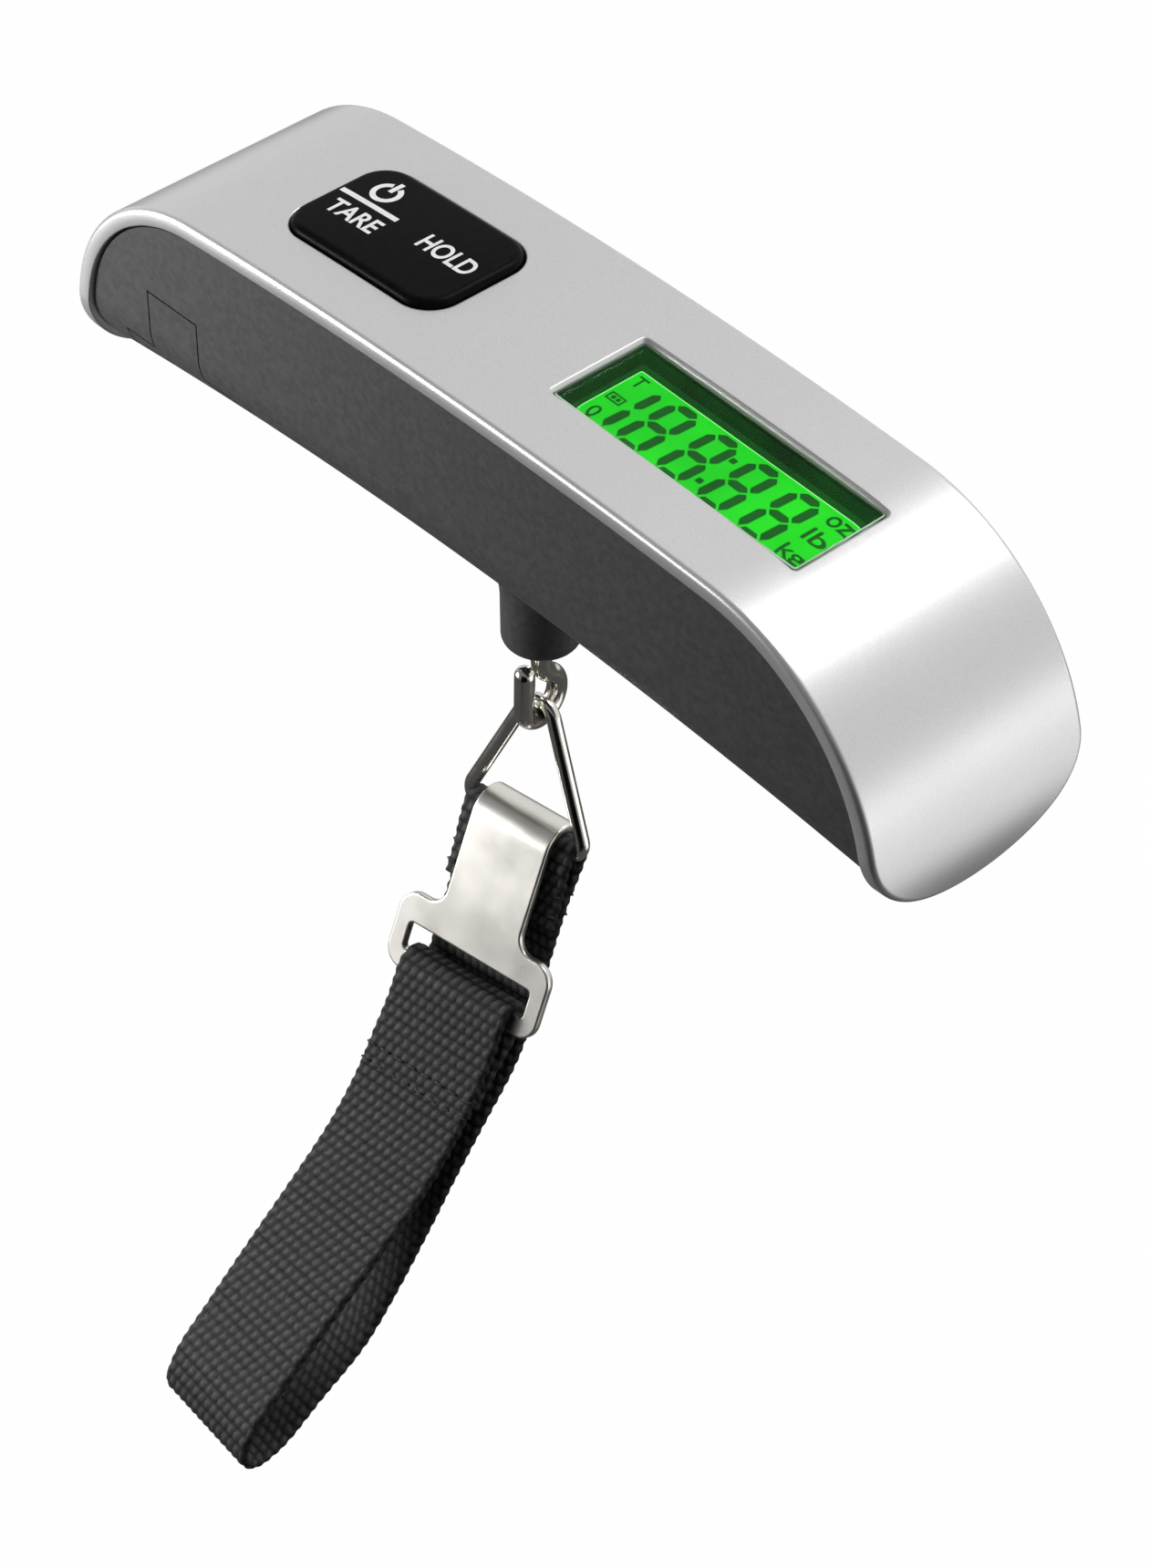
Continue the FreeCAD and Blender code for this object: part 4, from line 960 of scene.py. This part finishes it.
lean_deg = math.degrees(PLATE_LEAN)
bar_yz, slot_yz = plane_of(BAR), plane_of(SLOT_BAR)
web_path = [beside_plate(-0.85, -11.5), beside_plate(-0.95, -7.0), beside_plate(-1.45, -3.6)]
web_path += ring_of(bar_yz, HEM_R, 195 + lean_deg, -15 + lean_deg, 8)
web_path += [beside_plate(1.45, -3.6), beside_plate(0.95, -7.0), beside_plate(0.9, -12.0)]
back_strand = [(-10.9, -80.7), (-16.4, -92.2), (-22.6, -100.6), (-27.4, -108.6), (-31.6, -117.2),
               (-36.8, -125.6), (-43.6, -132.4)]
loop_bottom = [(-54.0, -136.2), (-62.5, -139.0), (-68.0, -138.2), (-70.0, -134.8), (-67.8, -130.6)]
front_strand = [(-60.6, -125.4), (-51.7, -118.9), (-42.6, -112.2), (-34.6, -105.6), (-28.8, -98.4),
                (-25.0, -92.0), (-21.7, -87.0)]
web_path += [np.array(q) for q in back_strand + loop_bottom + front_strand]
web_path += ring_of(slot_yz, SLOT_R, 152, -35, 7)
web_path += [slot_yz + np.array(q) for q in ((-0.5, -4.2), (-3.9, -7.4), (-7.8, -12.0))]

# %% A smooth line through the knots


def smooth_line(knots, per_span=24):
    """A smooth line through the knots: a centripetal Catmull-Rom spline, which never loops at close knots."""
    knots = [2 * knots[0] - knots[1]] + knots + [2 * knots[-1] - knots[-2]]
    out = []
    for p0, p1, p2, p3 in zip(knots, knots[1:], knots[2:], knots[3:]):
        spans = [max(np.linalg.norm(b - a), 1e-6) ** 0.5 for a, b in ((p0, p1), (p1, p2), (p2, p3))]
        t = np.cumsum([0] + spans)
        for x in np.linspace(t[1], t[2], per_span, endpoint=False):
            a1 = ((t[1] - x) * p0 + (x - t[0]) * p1) / (t[1] - t[0])
            a2 = ((t[2] - x) * p1 + (x - t[1]) * p2) / (t[2] - t[1])
            a3 = ((t[3] - x) * p2 + (x - t[2]) * p3) / (t[3] - t[2])
            b1 = ((t[2] - x) * a1 + (x - t[0]) * a2) / (t[2] - t[0])
            b2 = ((t[3] - x) * a2 + (x - t[1]) * a3) / (t[3] - t[1])
            out.append(((t[2] - x) * b1 + (x - t[1]) * b2) / (t[2] - t[1]))
    return np.array(out + [knots[-2]])


# %% [markdown]
# Below the plate the loop turns a little to one side as it falls, so each station along the line has its own
# direction across the tape, eased in from nothing.

# %% Stations along the webbing
WEB_STEP = 0.3
TWIST_FROM_Z, TWIST_RUN, TWIST, TWIST_ASIDE = -88.0, 47.0, math.radians(13.0), 4.5
dense_line = smooth_line(web_path)
run = np.concatenate([[0], np.cumsum(np.linalg.norm(np.diff(dense_line, axis=0), axis=1))])
WEB_LEN = float(run[-1])
stations = np.linspace(0, WEB_LEN, int(WEB_LEN / WEB_STEP) + 1)
line_y, line_z = np.interp(stations, run, dense_line[:, 0]), np.interp(stations, run, dense_line[:, 1])
ease = np.clip((TWIST_FROM_Z - line_z) / TWIST_RUN, 0, 1)
ease = ease * ease * (3 - 2 * ease)
swing_yaw = math.atan2(SIDE[1], SIDE[0])
web_yaw = swing_yaw - ease * TWIST
centre_line = (line_y[:, None] * FORE + line_z[:, None] * np.array([0, 0, 1.0])
               - ease[:, None] * TWIST_ASIDE * np.array([1.0, 0, 0]))
web_side = np.column_stack([np.cos(web_yaw), np.sin(web_yaw), np.zeros(len(web_yaw))])
web_ahead = np.gradient(centre_line, axis=0)
web_ahead /= np.linalg.norm(web_ahead, axis=1)[:, None]
web_out = np.cross(web_side, web_ahead)
web_out /= np.linalg.norm(web_out, axis=1)[:, None]
print("webbing is", round(WEB_LEN, 1), "mm long")

# %% [markdown]
# The weave is part of the mesh: each crossing of the thick yarns is a small oblong bump, set in rows, every
# other row moved by half a bump. The woven edge is drawn in a little between the rows, which makes it wavy.

# %% The webbing's weave
ROW, COLUMN, RELIEF = 1.75, 1.5, 0.26


def weave(along_web, across):
    """Height of the yarns from 0 to 1."""
    row = np.floor(along_web / ROW)
    in_row = along_web / ROW - row - 0.5
    shifted = across / COLUMN + 0.5 * (row % 2) - 0.35 * in_row
    in_col = shifted - np.floor(shifted) - 0.5
    return (1 - np.abs(2 * in_row) ** 2.4) * (1 - np.abs(2 * in_col) ** 2.4)


def web_section():
    """The tape's section as a closed loop: places across it, and levels from -1 to 1 with rounded edges."""
    half = WEB_W / 2
    w = np.concatenate([[-half, -half + 0.12], np.linspace(-half + 0.4, half - 0.4, 57), [half - 0.12, half]])
    edge = np.clip((np.abs(w) - (half - 0.6)) / 0.6, 0, 1)
    thick = np.sqrt(np.clip(1 - edge ** 2, 0, 1))
    across = np.concatenate([w, w[-2:0:-1]])
    level = np.concatenate([thick, -thick[-2:0:-1]])
    return across, level


# %% The woven mesh
across, level = web_section()
rings, per_ring = len(stations), len(across)
fade = np.clip(np.abs(level), 0, 1) ** 2
scallop = 1 + 0.011 * np.cos(2 * math.pi * stations / ROW)
relief = weave(stations[:, None] + (level < 0)[None] * ROW / 2, across[None]) * RELIEF * fade[None]
height = level[None] * WEB_T / 2 + np.sign(level)[None] * relief
web_points = (centre_line[:, None] + web_side[:, None] * (across[None] * scallop[:, None])[..., None]
              + web_out[:, None] * height[..., None]) * MM
index = np.arange(rings * per_ring).reshape(rings, per_ring)
web_faces = np.stack([index[:-1], np.roll(index[:-1], -1, 1), np.roll(index[1:], -1, 1), index[1:]], -1)
# The yarn height from 0 to 1, kept on the mesh for the material, which paints shade with it.
yarn_height_painted_shade = np.repeat(relief[..., None], 1, 2).reshape(-1) / RELIEF
web_faces = web_faces.reshape(-1, 4).tolist() + [index[0].tolist()[::-1], index[-1].tolist()]

# %% The webbing's material


def webbing_material():
    mat, tree, bsdf = new_material("webbing")
    uv = tree.nodes.new("ShaderNodeUVMap")
    uv.uv_map = "weave"
    yarn = noise(tree, stretched(tree, uv.outputs["UV"], (900, 5200, 1)), 1.0, 2.0)
    fluff = noise(tree, object_coords(tree), 1400.0, 3.0)
    top = tree.nodes.new("ShaderNodeAttribute")
    top.attribute_name = "yarn_height_painted_shade"
    yarn_tone_and_painted_shade = put(tree, "ShaderNodeMath")
    yarn_tone_and_painted_shade.operation = "MULTIPLY"
    join(tree, top.outputs["Fac"], yarn_tone_and_painted_shade.inputs[0])
    join(tree, spread(tree, yarn, 0.55, 1.0), yarn_tone_and_painted_shade.inputs[1])
    # Painted shade: by the yarn height, the gaps between the yarn bumps are darkened to near black and the
    # yarn tops lightened, with random tone from the yarn noise.
    join(tree, mix_colors(tree, yarn_tone_and_painted_shade.outputs["Value"], (0.002, 0.002, 0.0022), (0.085, 0.085, 0.088)),
         bsdf.inputs["Base Color"])
    join(tree, spread(tree, fluff, 0.5, 0.72), bsdf.inputs["Roughness"])
    bsdf.inputs["Sheen Weight"].default_value = 0.03
    bsdf.inputs["Specular IOR Level"].default_value = 0.16
    first = bump(tree, yarn, 0.00006, 0.7)
    join(tree, bump(tree, fluff, 0.00002, 0.5, first), bsdf.inputs["Normal"])
    return mat


# %% [markdown]
# The tape is soft between the plate and the loop. Here it is built as one mesh in its place, with its
# transform baked in.

# %% The webbing as a piece
WEBBING = webbing_material()
strap = make_object("strap_webbing", web_points.reshape(-1, 3), web_faces, WEBBING)
layer = strap.data.uv_layers.new(name="weave")
flat_uv = np.stack([np.broadcast_to(stations[:, None], index.shape),
                    np.broadcast_to(across[None], index.shape)], -1)
loops = np.zeros(len(strap.data.loops), int)
strap.data.loops.foreach_get("vertex_index", loops)
layer.data.foreach_set("uv", (flat_uv.reshape(-1, 2)[loops] * MM).astype(np.float32).ravel())
yarn_shade_heights = strap.data.attributes.new("yarn_height_painted_shade", "FLOAT", "POINT")
yarn_shade_heights.data.foreach_set("value", yarn_height_painted_shade.astype(np.float32))
outward(strap)
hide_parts("strap")
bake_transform(strap)
print("webbing mesh has", len(strap.data.polygons), "faces")

# %% [markdown]
# ## Stitches
# The tape is sewn in straight rows across its width: at the hem under the ring's bar, and below the slot.
# Each row is one stitch repeated by the node tree. A row lies on both faces, as thread does; the rows at the
# hem are attached to the clasp, and those below the slot are fixed in place.

# %% Rows of stitches
STITCH, STITCH_GAP, THREAD, THREAD_PROUD = 1.9, 2.6, 0.26, 0.1
STITCHES = 8


def stitch_shape(middle, along, out, forward):
    """A short thread, thickest in its middle, half sunk in the tape."""
    points, quads, ends, sides = [], [], 8, 8
    for i in range(ends + 1):
        t = -1 + 2 * i / ends
        thick = THREAD * math.sqrt(max(1 - t ** 4, 0.02))
        for k in range(sides):
            a = 2 * math.pi * k / sides
            around = out * math.sin(a) + forward * math.cos(a)
            points.append(middle + along * (t * STITCH / 2) + around * thick)
    for i in range(ends):
        for k in range(sides):
            a, b = i * sides + k, i * sides + (k + 1) % sides
            quads.append((a, b, b + sides, a + sides))
    quads += [tuple(range(sides))[::-1], tuple(ends * sides + k for k in range(sides))]
    return np.array(points) * MM, quads


def stitch_row(name, middle, along, out, forward):
    first = middle - along * STITCH_GAP * (STITCHES - 1) / 2
    points, quads = stitch_shape(first, along, out, forward)
    row = repeated(name, points, quads, STITCHES, along * STITCH_GAP * MM, THREAD_BLACK, True)
    outward(row)
    return row


# %% Rows at the hem and below the slot
THREAD_BLACK = grained_plastic("sewing_thread", (0.006, 0.006, 0.0065), (0.02, 0.02, 0.021), 0.00004, 0.5)
lean_fore, lean_up = in_plate(0, 1, 0) - BAR, in_plate(0, 0, 1) - BAR
for up in (-6.2, -9.4):
    for face in (-1, 1):
        place = in_plate(0, face * (0.95 + WEB_T / 2 + THREAD_PROUD), up)
        name = "hem_row_%d_%s" % (-up, "front" if face < 0 else "back")
        row = stitch_row(name, place, SIDE, lean_fore, lean_up)
        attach(row, "clasp")
lowest = int(np.argmin(line_z))
for below in (-91.5, -96.0):
    at = lowest + int(np.argmin(np.abs(line_z[lowest:lowest + int(70 / WEB_STEP)] - below)))
    for face in (-1, 1):
        place = centre_line[at] + web_out[at] * face * (WEB_T / 2 + THREAD_PROUD)
        name = "slot_row_%d_%s" % (-below, "out" if face > 0 else "in")
        row = stitch_row(name, place, web_side[at], web_out[at], web_ahead[at])
        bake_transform(row)
print("stitches in a row:", STITCHES)

# %% [markdown]
# ## The studio's floor and room
# Silver is lit by what it reflects. The room is bright behind the grip and darker in front of it, which
# gives the flat top its even grey and leaves the shell in shade. The floor and the room look pale to the
# camera, yet the floor is dark to the grip: the Light Path node tells the camera's rays from the others.

# %% Floor and room


def studio_floor():
    mat, tree, bsdf = new_material("studio_floor")
    tint = mix_colors(tree, noise(tree, object_coords(tree), 3.0), (0.985, 0.985, 0.985), (1.0, 1.0, 1.0))
    bsdf.inputs["Base Color"].default_value = (0.12, 0.12, 0.12, 1)
    bsdf.inputs["Roughness"].default_value = 0.9
    pale = put(tree, "ShaderNodeEmission", Strength=1.0)
    join(tree, tint, pale.inputs["Color"])
    rays = put(tree, "ShaderNodeLightPath")
    mix = put(tree, "ShaderNodeMixShader")
    join(tree, rays.outputs["Is Camera Ray"], mix.inputs[0])
    join(tree, bsdf.outputs[0], mix.inputs[1])
    join(tree, pale.outputs[0], mix.inputs[2])
    join(tree, mix.outputs[0], tree.nodes["Material Output"].inputs["Surface"])
    return mat


FLOOR_Z, FLOOR_HALF = -1.4, 6
floor_corners = [(x * FLOOR_HALF, y * FLOOR_HALF, FLOOR_Z) for x, y in ((-1, -1), (1, -1), (1, 1), (-1, 1))]
floor = make_object("floor", floor_corners, [(0, 1, 2, 3)], studio_floor(), False)

ROOM_FRONT, ROOM_BEHIND, ROOM_SEEN = 0.22, 0.84, 0.99
world = bpy.data.worlds.new("studio")
bpy.context.scene.world = world
world.use_nodes = True
room = world.node_tree
room.nodes["Background"].inputs["Color"].default_value = (1, 1, 1, 1)
seen = put(room, "ShaderNodeLightPath").outputs["Is Camera Ray"]
bearing = put(room, "ShaderNodeSeparateXYZ")
join(room, put(room, "ShaderNodeTexCoord").outputs["Generated"], bearing.inputs["Vector"])
from_behind = spread(room, bearing.outputs["Y"], ROOM_FRONT, ROOM_BEHIND, -0.25, 0.2)
brightness = room.nodes.new("ShaderNodeMix")
join(room, seen, brightness.inputs["Factor"])
join(room, from_behind, brightness.inputs["A"])
brightness.inputs["B"].default_value = ROOM_SEEN
join(room, brightness.outputs["Result"], room.nodes["Background"].inputs["Strength"])
print("floor at", FLOOR_Z, "m, room strength", ROOM_FRONT, "in front and", ROOM_BEHIND, "behind")

# %% [markdown]
# ## Lights and a flag
# One long strip above and behind draws the band where the right end starts to bend, and a low card lifts
# that end's lower half. Two small cards light the shell's left part from the front. A black cloth, which
# the camera doesn't see, stands in front of the shell's right part and keeps it dark.

# %% Lights


def area_light(name, place, aim, size, power, wide=None):
    data = bpy.data.lights.new(name, "AREA")
    data.shape = "RECTANGLE"
    data.size = size
    data.size_y = wide or size
    data.energy = power
    obj = bpy.data.objects.new(name, data)
    bpy.context.scene.collection.objects.link(obj)
    obj.location = place
    obj.rotation_euler = (Vector(aim) - Vector(place)).to_track_quat("-Z", "Y").to_euler()
    obj.visible_camera = False
    return obj


area_light("band_strip", (0.16, 0.45, 0.75), (0.06, 0, 0), 0.16, 4.0, 0.7)
area_light("end_card", (0.55, 0.35, -0.2), (0.08, 0, 0), 0.5, 1.0)
area_light("side_card", (-0.30, -0.42, 0.0), (-0.05, -0.02, -0.03), 0.2, 0.65)
area_light("left_card", (-0.20, -0.18, 0.0), (-0.07, -0.02, 0.0), 0.12, 0.75)
FLAG_CLOTH = grained_plastic("flag_cloth", (0.002, 0.002, 0.002), (0.003, 0.003, 0.003), 0.00001, 0.9, 0.0)
flag_corners = [(0.02, -0.12, -0.13), (0.22, -0.07, -0.13), (0.22, -0.07, 0.04), (0.02, -0.12, 0.04)]
flag = make_object("dark_flag", flag_corners, [(0, 1, 2, 3)], FLAG_CLOTH, False)
flag.visible_camera = False

# %% [markdown]
# ## The camera
# A long lens keeps the grip's edges nearly parallel. The camera looks down on the right end from the front,
# and is rolled by about a degree. The Standard view transform shows the lacquer's greys as they are,
# without a film curve.

# %% Camera
bpy.context.scene.view_settings.view_transform = "Standard"

CAMERA_AIM = Vector((0.0434, -0.0341, -0.0045))
CAMERA_AZ, CAMERA_EL, CAMERA_ROLL = math.radians(46.57), math.radians(42.46), math.radians(1.22)
CAMERA_AWAY, CAMERA_LENS = 0.6, 108.35
toward = Vector((math.sin(CAMERA_AZ) * math.cos(CAMERA_EL), -math.cos(CAMERA_AZ) * math.cos(CAMERA_EL),
                 math.sin(CAMERA_EL)))
camera_data = bpy.data.cameras.new("camera")
camera_data.lens = CAMERA_LENS
camera_data.sensor_width = 36.0
camera_data.clip_start, camera_data.clip_end = 0.02, 30.0
camera = bpy.data.objects.new("camera", camera_data)
bpy.context.scene.collection.objects.link(camera)
camera.location = CAMERA_AIM + toward * CAMERA_AWAY
camera.rotation_mode = "QUATERNION"
turn = Matrix.Rotation(CAMERA_ROLL, 4, toward)
camera.rotation_quaternion = (turn @ (-toward).to_track_quat("-Z", "Y").to_matrix().to_4x4()).to_quaternion()
bpy.context.scene.camera = camera
print("camera", CAMERA_AWAY, "m away with a", CAMERA_LENS, "mm lens")
